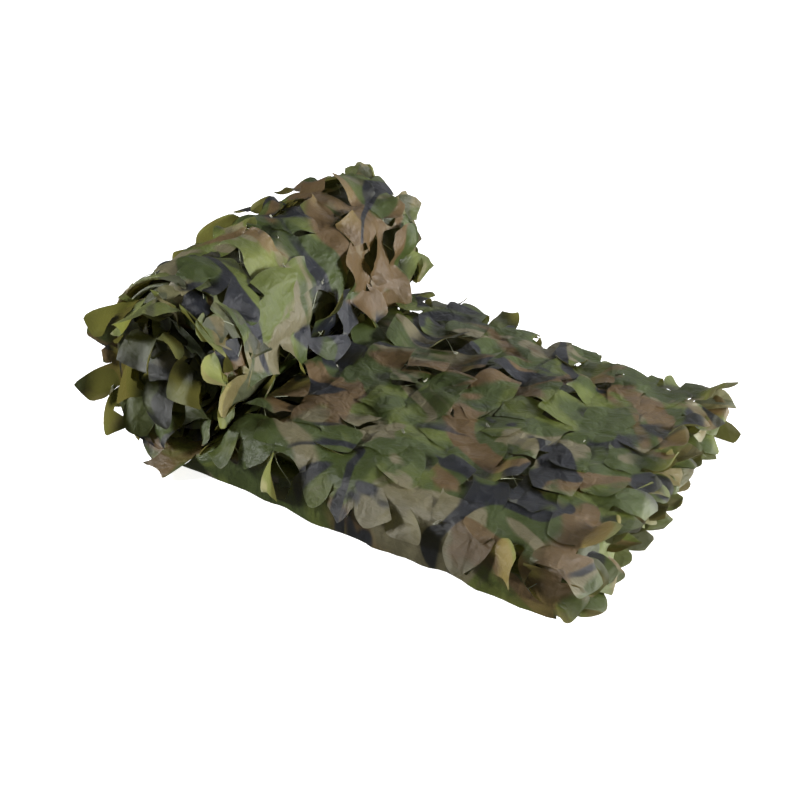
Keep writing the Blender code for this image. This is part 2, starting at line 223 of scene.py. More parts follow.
def sagged(angle):
    """How much further from its axis the roll reaches at an angle, because its foot has sagged flat."""
    turned = np.minimum(angle, np.pi / 2)
    return (np.abs(np.cos(turned)) ** ROLL_SAG + np.sin(turned) ** ROLL_SAG) ** (-1 / ROLL_SAG)


def strip_point(along, across, up):
    """Points of the folded strip, some of them rolled up, in the net's own frame."""
    angle = turn_angle(along)
    radius = (ROLL_RADIUS - WIND_PITCH * angle / math.tau - up) * sagged(angle % math.tau)
    flat = angle <= 0.0
    x = np.where(flat, -along, -FLAT_LENGTH - radius * np.sin(angle))
    z = np.where(flat, up, ROLL_RADIUS - radius * np.cos(angle))
    share = across / STRIP_WIDTH
    slip = np.interp(along, PLACES, NEAR_SLIPS) * (1 - share) + np.interp(along, PLACES, FAR_SLIPS) * share
    return STRIP_ORIGIN + np.stack((x, across + slip, z), axis=-1)


def cloth_point(flat):
    """Where points of the flat sheet lie once it is folded and rolled."""
    along, width = flat[:, 0], flat[:, 1]
    return strip_point(along, *fold_point(along, width))


def unit(vectors):
    """The vectors at length 1."""
    return vectors / np.maximum(1e-9, np.linalg.norm(vectors, axis=-1, keepdims=True))


def cloth_frame(flat, step=0.002):
    """Points of the folded cloth, and its directions along, over its width, and out of its printed face."""
    shift_along, shift_width = np.array((step, 0.0)), np.array((0.0, step))
    along = cloth_point(flat + shift_along) - cloth_point(flat - shift_along)
    width = cloth_point(flat + shift_width) - cloth_point(flat - shift_width)
    return cloth_point(flat), unit(along), unit(width), unit(np.cross(width, along))


# --- Leaf-cut cloth: its cuts -------------------------------------------------------------------------------
# Each leaf is cut free round its tip and stays joined at its neck. The rows of cuts are staggered, and the
# leaves point all ways. The cloth that shows, the layer behind it and the folds are cut, and the middle of the
# stack, which lies hidden, is left whole.

LEAF_CLEARANCE = 0.0032       # least cloth left between two cuts
HEM = 0.038                   # length of the lobes along the cut end
SIDE_HEM = 0.003              # least cloth left between a cut and the sheet's side
RAGGED = 0.018                # cut away along both sides in the roll's outer turn, where leaves reach past
CUT_STEP = 0.0052
SHRINK = 0.94                 # of a leaf that comes too near another, again and again
SHRINK_TRIES = 8
NEIGHBOUR_REACH = 0.09        # how far round a leaf others are looked for
ROW_SCATTER = 0.003           # of the leaves' places in their rows
FOLD_SCATTER = 0.004          # and along the folds
TURN_SCATTER = 0.35           # of their directions in the rows,
HANG_SCATTER = 0.9            # where they hang downhill,
FOLD_TURN_SCATTER = 0.4       # and along the folds
SIDE_ROOM = 0.4               # of a leaf's width, from its middle to its field's side
ROLL_START = 0.665            # where the leaves on the roll start, along the sheet
ROLL_FOOT = 1.245             # where the roll's outer turn comes down on the flat strip
RNG = random.Random(31)


def rounded(corners, times=3):
    """A line with its corners cut off again and again. A corner that is named more than once stays sharper."""
    for _ in range(times):
        line = [corners[0]]
        for (x0, y0), (x1, y1) in zip(corners, corners[1:]):
            line += [(0.75 * x0 + 0.25 * x1, 0.75 * y0 + 0.25 * y1),
                     (0.25 * x0 + 0.75 * x1, 0.25 * y0 + 0.75 * y1)]
        corners = line + [corners[-1]]
    return np.array(corners)


class Leaf:
    """One leaf: where it is cut, and how it bends."""

    def __init__(self, pose, centre, facing, length, width, corners):
        self.pose = pose
        self.facing = facing
        self.ahead = np.array((math.cos(facing), math.sin(facing)))
        self.side = np.array((-math.sin(facing), math.cos(facing)))
        self.length, self.width, self.corners = length, width, corners
        self.centre = np.array(centre)
        self.neck = self.centre - self.ahead * length / 2

    def outline(self, count=24):
        """Points of the cut, from one side of the neck round the tip to the other."""
        shares = rounded(self.corners)
        line = self.neck + np.outer(shares[:, 0] * self.length, self.ahead) \
            + np.outer(shares[:, 1] * self.width, self.side)
        reached = np.concatenate(([0.0], np.cumsum(np.linalg.norm(np.diff(line, axis=0), axis=1))))
        wanted = np.linspace(0.0, reached[-1], count + 1)
        return np.stack([np.interp(wanted, reached, line[:, k]) for k in (0, 1)], axis=-1)

    def shrunk(self, factor):
        """The same leaf, but smaller."""
        length, width = self.length * factor, self.width * factor
        return Leaf(self.pose, self.centre, self.facing, length, width, self.corners)

    def on_sheet(self):
        """Whether its cut stays clear of the sheet's edges."""
        line = self.outline(12)
        return (line[:, 0].min() > HEM + 0.002 and line[:, 0].max() < SHEET_LENGTH - SIDE_HEM
                and line[:, 1].min() > SIDE_HEM and line[:, 1].max() < SHEET_WIDTH - SIDE_HEM)


NECKS = {                     # width of the necks, as a share of the leaf's (narrowest, widest)
    "top": (0.90, 1.15), "side": (0.85, 1.10), "foot": (0.92, 1.22), "roll": (0.92, 1.22),
    "rim": (0.75, 1.0), "fold": (0.75, 1.0), "wound": (0.85, 1.1), "end_row": (0.8, 1.0), "hidden": (0.8, 1.0),
}


def downhill(s, w):
    """The direction on the flat sheet in which the folded cloth falls most steeply there."""
    _, along, width, _ = cloth_frame(np.array([(s, w)]))
    return math.atan2(-width[0, 2], -along[0, 2])


def drawn_leaf(pose, s, w, facing, length, width):
    """A leaf of roughly this size, with its own outline."""
    size = RNG.uniform(0.88, 1.12)
    neck = RNG.uniform(*NECKS[pose]) / 2
    a, b, c = RNG.uniform(-0.07, 0.07), RNG.uniform(-0.07, 0.07), RNG.uniform(-0.06, 0.06)
    tip, horn, corner, crest = (1.04, -0.24 + b), (1.10, -0.52), (1.0, -0.50 + b), (1.06, -0.26 + b)
    shoulder, barb, heel, lug = (0.34, 0.52), (0.98, 0.42 + c), (1.0, 0.40 + c), (0.92, 0.38 + c)
    left, right = (1.0, -0.34 + b), (0.96, 0.36 + c)
    families = [
        # fin
        [(0.0, -neck), (0.42, -neck - 0.03 + a), (0.80, -0.46 + b)] + [tip] * 3
        + [(0.82, 0.06 + c), (0.60, 0.36 + a)] + [shoulder] * 2 + [(0.0, neck + 0.06)],
        # wing with a hollow end
        [(0.0, -neck), (0.36, -neck + 0.10), (0.76, -0.30 + a)] + [horn] * 3
        + [(0.84, -0.02 + b)] + [barb] * 2 + [(0.62, 0.54), (0.30, neck + 0.02), (0.0, neck)],
        # tongue with one corner
        [(0.0, -neck), (0.45, -neck + a)] + [corner] * 3 + [heel] * 2 + [(0.56, 0.54), (0.0, neck)],
        # wave
        [(0.0, -neck), (0.36, -neck + 0.10 + a), (0.78, -0.58)] + [crest] * 3 + [lug] * 2
        + [(0.46, 0.42), (0.20, neck + 0.06), (0.0, neck)],
        # square end
        [(0.0, -neck), (0.50, -0.52 + a)] + [left] * 3 + [right] * 3 + [(0.45, neck + a), (0.0, neck)],
    ]
    corners = families[RNG.choice((0, 1, 2) if pose in ("top", "side") else (0, 1, 1, 2, 3, 4))]
    if RNG.random() < 0.5:
        corners = [(reach, -aside) for reach, aside in corners[::-1]]
    return Leaf(pose, (s, w), facing, length * size, width * size * RNG.uniform(0.94, 1.06), corners)


def leaf_field(pose, along_span, width_span, pitch, length, width, facings):
    """Leaves in staggered rows over a part of the sheet. Each facing has its share of them."""
    leaves = []
    (s0, s1), (w0, w1) = along_span, width_span
    rows, columns = max(1, round((s1 - s0) / pitch)), max(1, round((w1 - w0) / pitch))
    for i in range(rows):
        for j in range(columns):
            s = s0 + (s1 - s0) * (i + 0.5) / rows + RNG.uniform(-ROW_SCATTER, ROW_SCATTER)
            stagger = 0.25 if i % 2 else -0.25
            w = w0 + (w1 - w0) * (j + 0.5 + stagger) / columns + RNG.uniform(-ROW_SCATTER, ROW_SCATTER)
            w = min(w1 - SIDE_ROOM * width, max(w0 + SIDE_ROOM * width, w))
            chance = RNG.random()
            facing = 0.0
            for share, turn in facings:
                chance -= share
                if chance <= 0:
                    facing = downhill(s, w) if turn is None else turn
                    break
            scatter = HANG_SCATTER if turn is None else TURN_SCATTER
            leaves.append(drawn_leaf(pose, s, w, facing + RNG.uniform(-scatter, scatter), length, width))
    return leaves


NECK_BACK = 0.012             # how far behind a fold's middle the necks of its leaves are


def fold_leaves(pose, s0, s1, middle, pitch, length, width):
    """Leaves along a fold, which point out over it from either side by turns."""
    leaves = []
    count = max(1, round((s1 - s0) / pitch))
    for i in range(count):
        s = s0 + (s1 - s0) * (i + 0.5) / count + RNG.uniform(-FOLD_SCATTER, FOLD_SCATTER)
        side = 1 if i % 2 else -1
        w = middle + side * (length / 2 - NECK_BACK + RNG.uniform(-FOLD_SCATTER, FOLD_SCATTER))
        facing = side * math.pi / 2 + RNG.uniform(-FOLD_TURN_SCATTER, FOLD_TURN_SCATTER)
        leaves.append(drawn_leaf(pose, s, w, facing, length, width))
    return leaves


def clear_leaves(leaves):
    """Make each leaf smaller until it stays clear of the ones before it, and drop those that end up tiny."""
    kept, cuts = [], np.zeros((0, 2))
    for leaf in leaves:
        for _ in range(SHRINK_TRIES):
            line = leaf.outline()
            near = cuts[np.abs(cuts - line.mean(axis=0)).max(axis=1) < NEIGHBOUR_REACH]
            gap = np.min(np.linalg.norm(near[:, None] - line[None], axis=2)) if len(near) else 1.0
            if gap > LEAF_CLEARANCE and leaf.on_sheet():
                kept.append(leaf)
                cuts = np.vstack((cuts, line))
                break
            leaf = leaf.shrunk(SHRINK)
    return kept


def end_lobes(pitch=0.049):
    """The lobes along the cut end of the sheet, each with one or two sharper corners."""
    lobes = []
    count = round(SHEET_WIDTH / pitch)
    for i in range(count):
        width = pitch * RNG.uniform(0.80, 0.92)
        length = HEM * RNG.uniform(0.75, 1.15)
        middle = (i + 0.5) * SHEET_WIDTH / count
        a, b = RNG.uniform(-0.45, -0.05), RNG.uniform(0.05, 0.45)
        corners = [(0.0, -0.5), (0.5, -0.5), (0.95, a), (RNG.uniform(0.75, 1.0), b), (0.5, 0.5), (0.0, 0.5)]
        for sharp in RNG.choice(((2,), (3,), (3, 2))):
            corners[sharp:sharp] = [corners[sharp]] * 2
        lobes.append(Leaf("end", (HEM - length / 2, middle), math.pi, length, width, corners))
    return lobes


# share and direction on the flat sheet; None hangs downhill
TO_END_AND_SIDE = [(0.34, math.pi), (0.30, -math.pi / 2), (0.20, math.pi / 2), (0.16, 0.0)]
HANGING = [(0.75, None), (0.10, 0.0), (0.15, math.pi)]
DOWN_TO_FOOT = [(1.0, 0.0)]
OVER_FAR_RIM = [(1.0, math.pi / 2)]
OVER_NEAR_RIM = [(0.6, -math.pi / 2), (0.4, None)]
ANY_WAY = [(0.25, 0.0), (0.25, math.pi / 2), (0.25, math.pi), (0.25, -math.pi / 2)]

under_start, under_end = SPANS[5]
under_middle = (under_start + under_end) / 2
FLAT_SPAN = (0.036, 0.662)
FOOT_SPAN = (ROLL_FOOT - 0.060, ROLL_FOOT)
OUTER_SPAN = (ROLL_START, OUTER_TURN)
FIELDS = [
    # pose, where along the sheet and over its width, spacing, length and width of the leaves, directions
    ("top", FLAT_SPAN, (WRAP_WIDTH, SPANS[0][1] - 0.006), 0.057, 0.051, 0.056, TO_END_AND_SIDE),
    ("side", FLAT_SPAN, (0.016, WRAP_WIDTH), 0.050, 0.044, 0.048, HANGING),
    ("foot", FOOT_SPAN, (under_start + 0.02, under_end - 0.010), 0.060, 0.056, 0.062, DOWN_TO_FOOT),
    ("roll", OUTER_SPAN, (under_start + 0.02, under_middle), 0.054, 0.050, 0.053, ANY_WAY),
    ("roll", OUTER_SPAN, (under_middle, under_end - 0.076), 0.063, 0.059, 0.064, ANY_WAY),
    ("rim", OUTER_SPAN, (under_end - 0.074, under_end - 0.002), 0.066, 0.068, 0.062, OVER_FAR_RIM),
    ("rim", (ROLL_START, SHEET_LENGTH - 0.005), (0.004, WRAP_WIDTH), 0.058, 0.054, 0.054, OVER_NEAR_RIM),
    *[("end_row", (0.040, 0.095), span, 0.050, 0.046, 0.043, ANY_WAY) for span in SPANS[1:]],
    ("hidden", (0.100, 0.650), SPANS[1], 0.056, 0.052, 0.048, ANY_WAY),
    ("hidden", OUTER_SPAN, SPANS[4], 0.056, 0.052, 0.048, ANY_WAY),
]
FOLD_MIDDLES = [last + FOLD_WIDTH / 2 for _, last in SPANS[:-1]]
lobes = end_lobes()
leaves = []
for fold, middle in enumerate(FOLD_MIDDLES):
    on_far_side = fold % 2 == 0
    if on_far_side:
        leaves += fold_leaves("fold", 0.060, ROLL_START, middle, 0.050, 0.046, 0.044)
    wound_from = ROLL_START if on_far_side else 1.0
    leaves += fold_leaves("wound", wound_from, SHEET_LENGTH - 0.01, middle, 0.048, 0.038, 0.044)
for field in FIELDS:
    leaves += leaf_field(*field)
leaves = [leaf for leaf in clear_leaves(leaves)
          if leaf.neck[0] < ROLL_START or RAGGED < leaf.neck[1] < SHEET_WIDTH - RAGGED]


# --- Leaf-cut cloth: its mesh on the flat -------------------------------------------------------------------
# The cuts are edges of the flat mesh. It is fine where the cloth shows and round its folds, and coarse in the
# middle of the stack.

FINE, MIDDLING, COARSE = 0.0068, 0.012, 0.034
ROW_SHARE = 0.87              # of the spacing, between the rows of a hexagonal grid
SCATTER = 0.15                # of the spacing, by which its points are off the grid
EDGE_ROOM = 0.001             # between its points and the sheet's sides
CUT_ROOM = 0.55               # of the spacing, between its points and the cuts
FINE_TOP = 0.70               # where the mesh is fine, along the sheet: as far as this on the top,
FINE_END = 0.09               # as far as this in every layer,
FINE_ROLL = (0.64, 1.36)      # and between these on the outer turn
ROLLED_FROM = 0.66
CUT_LENGTH = 2.4              # length of a cut, as a share of its leaf's length


def resolution(s, w):
    """Distance between the mesh's points at a place of the flat sheet."""
    on_top = w < SPANS[1][0] + 0.04 and s < FINE_TOP
    outermost = w > SPANS[5][0] - 0.05 and FINE_ROLL[0] < s < FINE_ROLL[1]
    if on_top or outermost or s < FINE_END or w < WRAP_WIDTH:
        return FINE
    by_fold = min(abs(w - middle) for middle in FOLD_MIDDLES) < 0.05 or w > SHEET_WIDTH - 0.08
    under_top = SPANS[1][0] < w < SPANS[1][1] and s < ROLLED_FROM
    under_outermost = SPANS[4][0] < w < SPANS[4][1] and ROLLED_FROM < s < FINE_ROLL[1]
    return MIDDLING if by_fold or under_top or under_outermost else COARSE


def grid_points(step):
    """A hexagonal grid over the flat sheet, kept where the mesh is to be that fine."""
    points = []
    for row in range(int(SHEET_WIDTH / (step * ROW_SHARE)) + 1):
        w = row * step * ROW_SHARE
        for column in range(int(SHEET_LENGTH / step) + 1):
            s = (column + 0.5 * (row % 2)) * step
            if s < SHEET_LENGTH and resolution(s, w) == step:
                points.append(tuple(value + RNG.uniform(-SCATTER, SCATTER) * step for value in (s, w)))
    return points


def straight(a, b, step):
    """Points from a to b, both included."""
    count = max(1, round(math.dist(a, b) / step))
    return [(a[0] + (b[0] - a[0]) * i / count, a[1] + (b[1] - a[1]) * i / count) for i in range(count + 1)]


flat_points, flat_edges = [], []


def add_line(line, start=None, stop=None):
    """Add a line of points and its edges to the flat mesh. It may begin and end at points that are there."""
    ids = [] if start is None else [start]
    for point in line[0 if start is None else 1:len(line) if stop is None else -1]:
        flat_points.append(tuple(point))
        ids.append(len(flat_points) - 1)
    if stop is not None:
        ids.append(stop)
    flat_edges.extend(zip(ids, ids[1:]))
    return ids


def add_leaf(leaf):
    """Add a leaf's cut and its neck line to the flat mesh."""
    step = CUT_STEP if resolution(*leaf.neck) == FINE else 1.5 * CUT_STEP
    leaf.cut = leaf.outline(max(8, round(CUT_LENGTH * leaf.length / step)))
    leaf.first_id = len(flat_points)
    ids = add_line(leaf.cut)
    leaf.neck_ids = add_line(straight(leaf.cut[0], leaf.cut[-1], step), ids[0], ids[-1])


for leaf in leaves + lobes:
    add_leaf(leaf)
gaps, reached = [], 0.0
for lobe in lobes:
    first, last = sorted((tuple(lobe.cut[0]), tuple(lobe.cut[-1])), key=lambda point: point[1])
    gaps.append(((HEM, reached), first))
    reached = last[1]
gaps.append(((HEM, reached), (HEM, SHEET_WIDTH)))
far_corner, near_corner = (SHEET_LENGTH, SHEET_WIDTH), (SHEET_LENGTH, 0.0)
for a, b in gaps + [((HEM, SHEET_WIDTH), far_corner), (far_corner, near_corner), (near_corner, (HEM, 0.0))]:
    add_line(straight(a, b, MIDDLING if math.dist(a, b) > 0.1 else FINE))

for outer, inner in ((0.0, RAGGED), (SHEET_WIDTH, SHEET_WIDTH - RAGGED)):
    strip = [(ROLL_START, outer), (ROLL_START, inner), (OUTER_TURN, inner), (OUTER_TURN, outer)]
    for a, b in zip(strip, strip[1:]):
        add_line(straight(a, b, FINE))

cut_tree = kdtree.KDTree(len(flat_points))
for index, point in enumerate(flat_points):
    cut_tree.insert((*point, 0.0), index)
cut_tree.balance()
for step in (FINE, MIDDLING, COARSE):
    for point in grid_points(step):
        on_sheet = (HEM < point[0] < SHEET_LENGTH - EDGE_ROOM
                    and EDGE_ROOM < point[1] < SHEET_WIDTH - EDGE_ROOM)
        if on_sheet and cut_tree.find((*point, 0.0))[2] > CUT_ROOM * min(step, MIDDLING):
            flat_points.append(point)

result = geometry.delaunay_2d_cdt([Vector(point) for point in flat_points], flat_edges, [], 0, 1e-7, True)
flat = np.array([tuple(point) for point in result[0]])
triangles = np.array(result[2])
found = {source: index for index, sources in enumerate(result[3]) for source in sources}


def inside_outline(points, outline):
    """Which points lie inside a closed outline."""
    inside = np.zeros(len(points), bool)
    x, y = points.T
    for (x0, y0), (x1, y1) in zip(outline, np.roll(outline, -1, axis=0)):
        crosses = (y0 > y) != (y1 > y)
        inside ^= crosses & (x < (x1 - x0) * (y - y0) / ((y1 - y0) or 1e-12) + x0)
    return inside


centres = flat[triangles].mean(axis=1)
owner = np.full(len(triangles), -1)
for number, leaf in enumerate(leaves + lobes):
    close = np.flatnonzero(np.abs(centres - leaf.neck).max(axis=1) < leaf.length + leaf.width)
    owner[close[inside_outline(centres[close], np.array(leaf.cut))]] = number
ragged = (centres[:, 0] > ROLL_START) & (centres[:, 0] < OUTER_TURN)
ragged &= np.abs(centres[:, 1] - SHEET_WIDTH / 2) > SHEET_WIDTH / 2 - RAGGED
kept = (owner >= 0) | (centres[:, 0] > HEM) & ~ragged
triangles, owner, centres = triangles[kept], owner[kept], centres[kept]


# --- Leaf-cut cloth: its leaves bent and its mesh finished --------------------------------------------------
# The leaves curl because the cut releases the cloth's tension: most lie nearly flat where the strip is pressed
# flat, and they stand out and droop on the roll, along its folds and at the cut end.

POSES = {
    # share of the leaves, rise at the neck (low, high), curl towards the tip (low, high), in degrees
    "top": [(0.60, (2, 7), (-16, 0)), (0.26, (8, 20), (-45, 5)), (0.03, (40, 70), (-20, 60)),
            (0.11, (-14, -6), (-8, 4))],
    "side": [(0.60, (4, 16), (-24, 6)), (0.32, (14, 36), (-30, 30)), (0.08, (36, 70), (0, 60))],
    "foot": [(0.6, (28, 52), (-50, 0)), (0.4, (14, 30), (-20, 20))],
    "roll": [(0.42, (24, 42), (-60, -15)), (0.40, (38, 62), (-120, -60)), (0.18, (10, 22), (-30, 0))],
    "rim": [(0.45, (10, 30), (-50, 10)), (0.55, (25, 55), (-110, -20))],
    "fold": [(0.60, (-20, 18), (-40, 30)), (0.40, (12, 40), (-60, 20))],
    "wound": [(0.60, (-50, -10), (-70, -10)), (0.40, (-10, 25), (-100, -30))],
    "end_row": [(0.5, (2, 12), (-10, 10)), (0.5, (10, 34), (0, 40))],
    "end": [(0.5, (-25, 25), (-80, 60)), (0.5, (15, 60), (-90, 80))],
    "hidden": [(1.0, (6, 20), (-10, 10))],
}
BENDS = {
    # how much gravity bends a leaf and how far it is cupped (both per metre), how far its cloth has stretched,
    # the height of the ripples at its tip, and what its corner curls round (tightest and widest radius)
    "top": (4.0, 6.0, 1.12, 0.0015, (0.060, 0.25)),
    "side": (8.0, 8.0, 1.20, 0.0025, (0.050, 0.20)),
    "foot": (8.0, 18.0, 1.28, 0.0060, (0.020, 0.060)),
    "roll": (5.0, 22.0, 1.28, 0.0075, (0.014, 0.050)),
    "rim": (14.0, 20.0, 1.30, 0.0075, (0.014, 0.045)),
    "fold": (20.0, 14.0, 1.22, 0.0040, (0.018, 0.060)),
    "wound": (22.0, 13.0, 1.20, 0.0050, (0.014, 0.040)),
    "end_row": (4.0, 7.0, 1.20, 0.0020, (0.05, 0.2)),
    "end": (9.0, 14.0, 1.36, 0.0070, (0.012, 0.040)),
    "hidden": (0.0, 4.0, 1.0, 0.0, (0.1, 0.3)),
}
SOFT_ROOM = [0.03 * (high - low) + 0.0085 for low, high in zip(*cad_box)]     # past the solid's box
LOWEST = np.array([low - room for low, room in zip(cad_box[0], SOFT_ROOM)])
HIGHEST = np.array([high + room for high, room in zip(cad_box[1], SOFT_ROOM)])
BEND_STEPS = 12
HINGE_SHARES = (0.5, 0.3, 0.2)          # of the rise at the neck, in the first steps
MOST_CURL = 2.6                         # angle to which a corner curls at most
EASE_TRIES = 6                          # how often a leaf that reaches too far is bent less,
EASE_SHARE = 0.7                        # to this share of its bend,
EASE_DROOP = 0.15                       # and how much further down its tip is turned then


def draw_pose(leaf):
    """Draw how one leaf bends."""
    chance = RNG.random()
    for share, rise, curl in POSES[leaf.pose]:
        chance -= share
        if chance <= 0:
            break
    sag, cup, stretch, ripple, curl_radii = BENDS[leaf.pose]
    leaf.rise = math.radians(RNG.uniform(*rise))
    leaf.curl = math.radians(RNG.uniform(*curl))
    leaf.cup = cup * RNG.choice((-1, 1)) * RNG.uniform(0.3, 1.0)
    leaf.twist = math.radians(RNG.uniform(-45, 45)) * min(1.0, 0.12 + abs(leaf.rise))
    leaf.swing = RNG.uniform(-0.18, 0.18)
    leaf.sag = sag * RNG.uniform(0.7, 1.3)
    leaf.stretch = 1 + (stretch - 1) * RNG.uniform(0.8, 1.2)
    leaf.curl_way = RNG.choice((-1, 1)) * math.radians(RNG.uniform(15, 75))
    leaf.curl_start = leaf.length * RNG.uniform(0.25, 0.60)
    leaf.curl_bend = RNG.choice((-1, 1)) / RNG.uniform(*curl_radii)
    leaf.ripple = ripple * RNG.uniform(0.5, 1.2)
    leaf.waves = math.tau / RNG.uniform(0.045, 0.075)
    leaf.phase = RNG.uniform(0.0, math.tau)


def eased(value, low, high):
    """0 below low, 1 above high, and smooth between."""
    t = np.clip((value - low) / (high - low), 0.0, 1.0)
    return t * t * (3 - 2 * t)


def curled_corner(leaf, reach, aside):
    """A leaf's flat points once its corner is curled: drawn in along and across the leaf, and their height."""
    way = np.array((math.cos(leaf.curl_way), math.sin(leaf.curl_way)))
    past = np.maximum(0.0, reach * way[0] + aside * way[1] - leaf.curl_start)
    turned = np.minimum(abs(leaf.curl_bend) * past, MOST_CURL)
    shortened = past - np.sin(turned) / abs(leaf.curl_bend)
    curled = (1 - np.cos(turned)) / leaf.curl_bend
    return reach - shortened * way[0], aside - shortened * way[1], curled


def midrib(leaf, centre, ahead, side, up):
    """The line up a leaf's middle once it is bent: places, and directions sideways and off the leaf there."""
    step = leaf.length * leaf.stretch / BEND_STEPS
    nodes = [(centre, side, up)]
    for i in range(BEND_STEPS):
        lift = leaf.rise * (HINGE_SHARES[i] if i < len(HINGE_SHARES) else 0.0) + leaf.curl / BEND_STEPS
        ahead = unit(ahead * math.cos(lift) + up * math.sin(lift) + np.array((0.0, 0.0, -leaf.sag * step)))
        side = unit(side - ahead * (side @ ahead))
        up = np.cross(ahead, side)
        side = unit(side * math.cos(leaf.twist / BEND_STEPS) + up * math.sin(leaf.twist / BEND_STEPS))
        up = np.cross(ahead, side)
        centre = centre + ahead * step
        nodes.append((centre, side, up))
    return (np.array(column) for column in zip(*nodes))


def bent_points(leaf, points, neck_frame, neck_line):
    """Where a leaf's flat points lie once it is bent. The neck's frame is that of the cloth round it."""
    origin, along, width, outward = neck_frame
    offset = points - leaf.neck
    share = offset @ leaf.ahead / leaf.length
    reach, aside, curled = curled_corner(leaf, offset @ leaf.ahead, offset @ leaf.side)
    ahead = unit(along * leaf.ahead[0] + width * leaf.ahead[1])
    side = unit(along * leaf.side[0] + width * leaf.side[1])
    up = unit(np.cross(ahead, side))
    handed = 1.0
    if up @ outward < 0:
        up, handed = -up, -1.0
    side = np.cross(up, ahead)
    centres, sides, ups = midrib(leaf, origin, ahead, side, up)
    place = np.clip(reach / leaf.length, 0.0, 1.0) * BEND_STEPS
    low = np.minimum(place.astype(int), BEND_STEPS - 1)
    part = (place - low)[:, None]
    middle = centres[low] * (1 - part) + centres[low + 1] * part
    across = unit(sides[low] * (1 - part) + sides[low + 1] * part)
    out = unit(ups[low] * (1 - part) + ups[low + 1] * part)
    wide = aside * (1 + (leaf.stretch - 1) * eased(share, 0.0, 0.45))
    bow = leaf.cup * eased(share, 0.0, 0.35)
    shifted = handed * wide * (1 - (bow * wide) ** 2 / 6) + leaf.swing * reach * share
    ripple = leaf.ripple * np.sin(leaf.waves * aside + leaf.phase) * eased(share, 0.15, 0.9)
    bent = middle + across * shifted[:, None] + out * (bow * wide ** 2 / 2 + ripple + curled)[:, None]
    neck_spot = origin + side * (handed * np.clip(aside, -leaf.width / 2, leaf.width / 2))[:, None]
    return bent + (neck_line(aside) - neck_spot) * ((1 - np.clip(share, 0, 1)) ** 2)[:, None]


# how far the exposed cloth stands off its fold: evenly, in broad swells and in fine ones
ROLL_SWELLS = (0.007, 0.016, 0.005)
TOP_SWELLS = (0.004, 0.009, 0.003)
HIDDEN_SWELL = 0.0012
BROAD_ALONG, BROAD_ACROSS, FINE_SWELL = 0.060, 0.055, 0.026       # sizes of the swells
SWELL_TURN = (0.5, 4.6)       # between these angles of the roll the cloth stands off,
TURN_EASE = (0.4, 0.5)        # which starts and ends over so much of a turn,
SWELL_STOP, STOP_EASE = 0.60, 0.12          # and on the top as far as this along the sheet


def stand_off(flat):
    """How far the cloth stands off its fold."""
    heights = np.zeros(len(flat))
    for index, (s, w) in enumerate(flat):
        rolled = s > FLAT_LENGTH
        exposed = w > SPANS[4][1] if rolled else w < SPANS[0][1] + FOLD_WIDTH
        fine = noise.noise(Vector((s / FINE_SWELL, w / FINE_SWELL, 2.0)))
        if not exposed:
            heights[index] = HIDDEN_SWELL * fine
            continue
        broad = noise.noise(Vector((s / BROAD_ALONG, w / BROAD_ACROSS, 7.0)))
        if rolled:
            angle = float(turn_angle(s))
            share = min(1.0, max(0.0, (angle - SWELL_TURN[0]) / TURN_EASE[0]))
            share *= min(1.0, max(0.0, (SWELL_TURN[1] - angle) / TURN_EASE[1]))
        else:
            share = min(1.0, max(0.0, (SWELL_STOP - s) / STOP_EASE))
        even, swell, ruffle = ROLL_SWELLS if rolled else TOP_SWELLS
        heights[index] = share * (even + swell * broad + ruffle * fine)
    return heights


ROLL_AXIS = STRIP_ORIGIN + np.array((-FLAT_LENGTH, 0.0, ROLL_RADIUS))
LEAF_REST = 0.0012            # least distance between a leaf and the cloth it was cut from
LEAF_STEP = 0.0018            # and between two leaves that lie on each other
MOST_LIFT = 0.016
EASY_STAND = 0.024            # what stands off further than this on the roll or the top is brought down
LAID_EASE = 0.5               # by this share of what is too much,
RIM_STAND = 0.6 * EASY_STAND            # and further than this at rims and folds,
RIM_EASE = 0.75               # by this share
FOOT_REST = 0.006             # least height at which the roll's lowest leaves lie on the top
PILE_CELL = 0.005
PILE_SHAPE = (240, 160)
PILE_SIDE = 0.38              # from the pile's near side to the middle of the strip
PILE_TOP = 0.014              # a leaf that stands higher leaves room under it


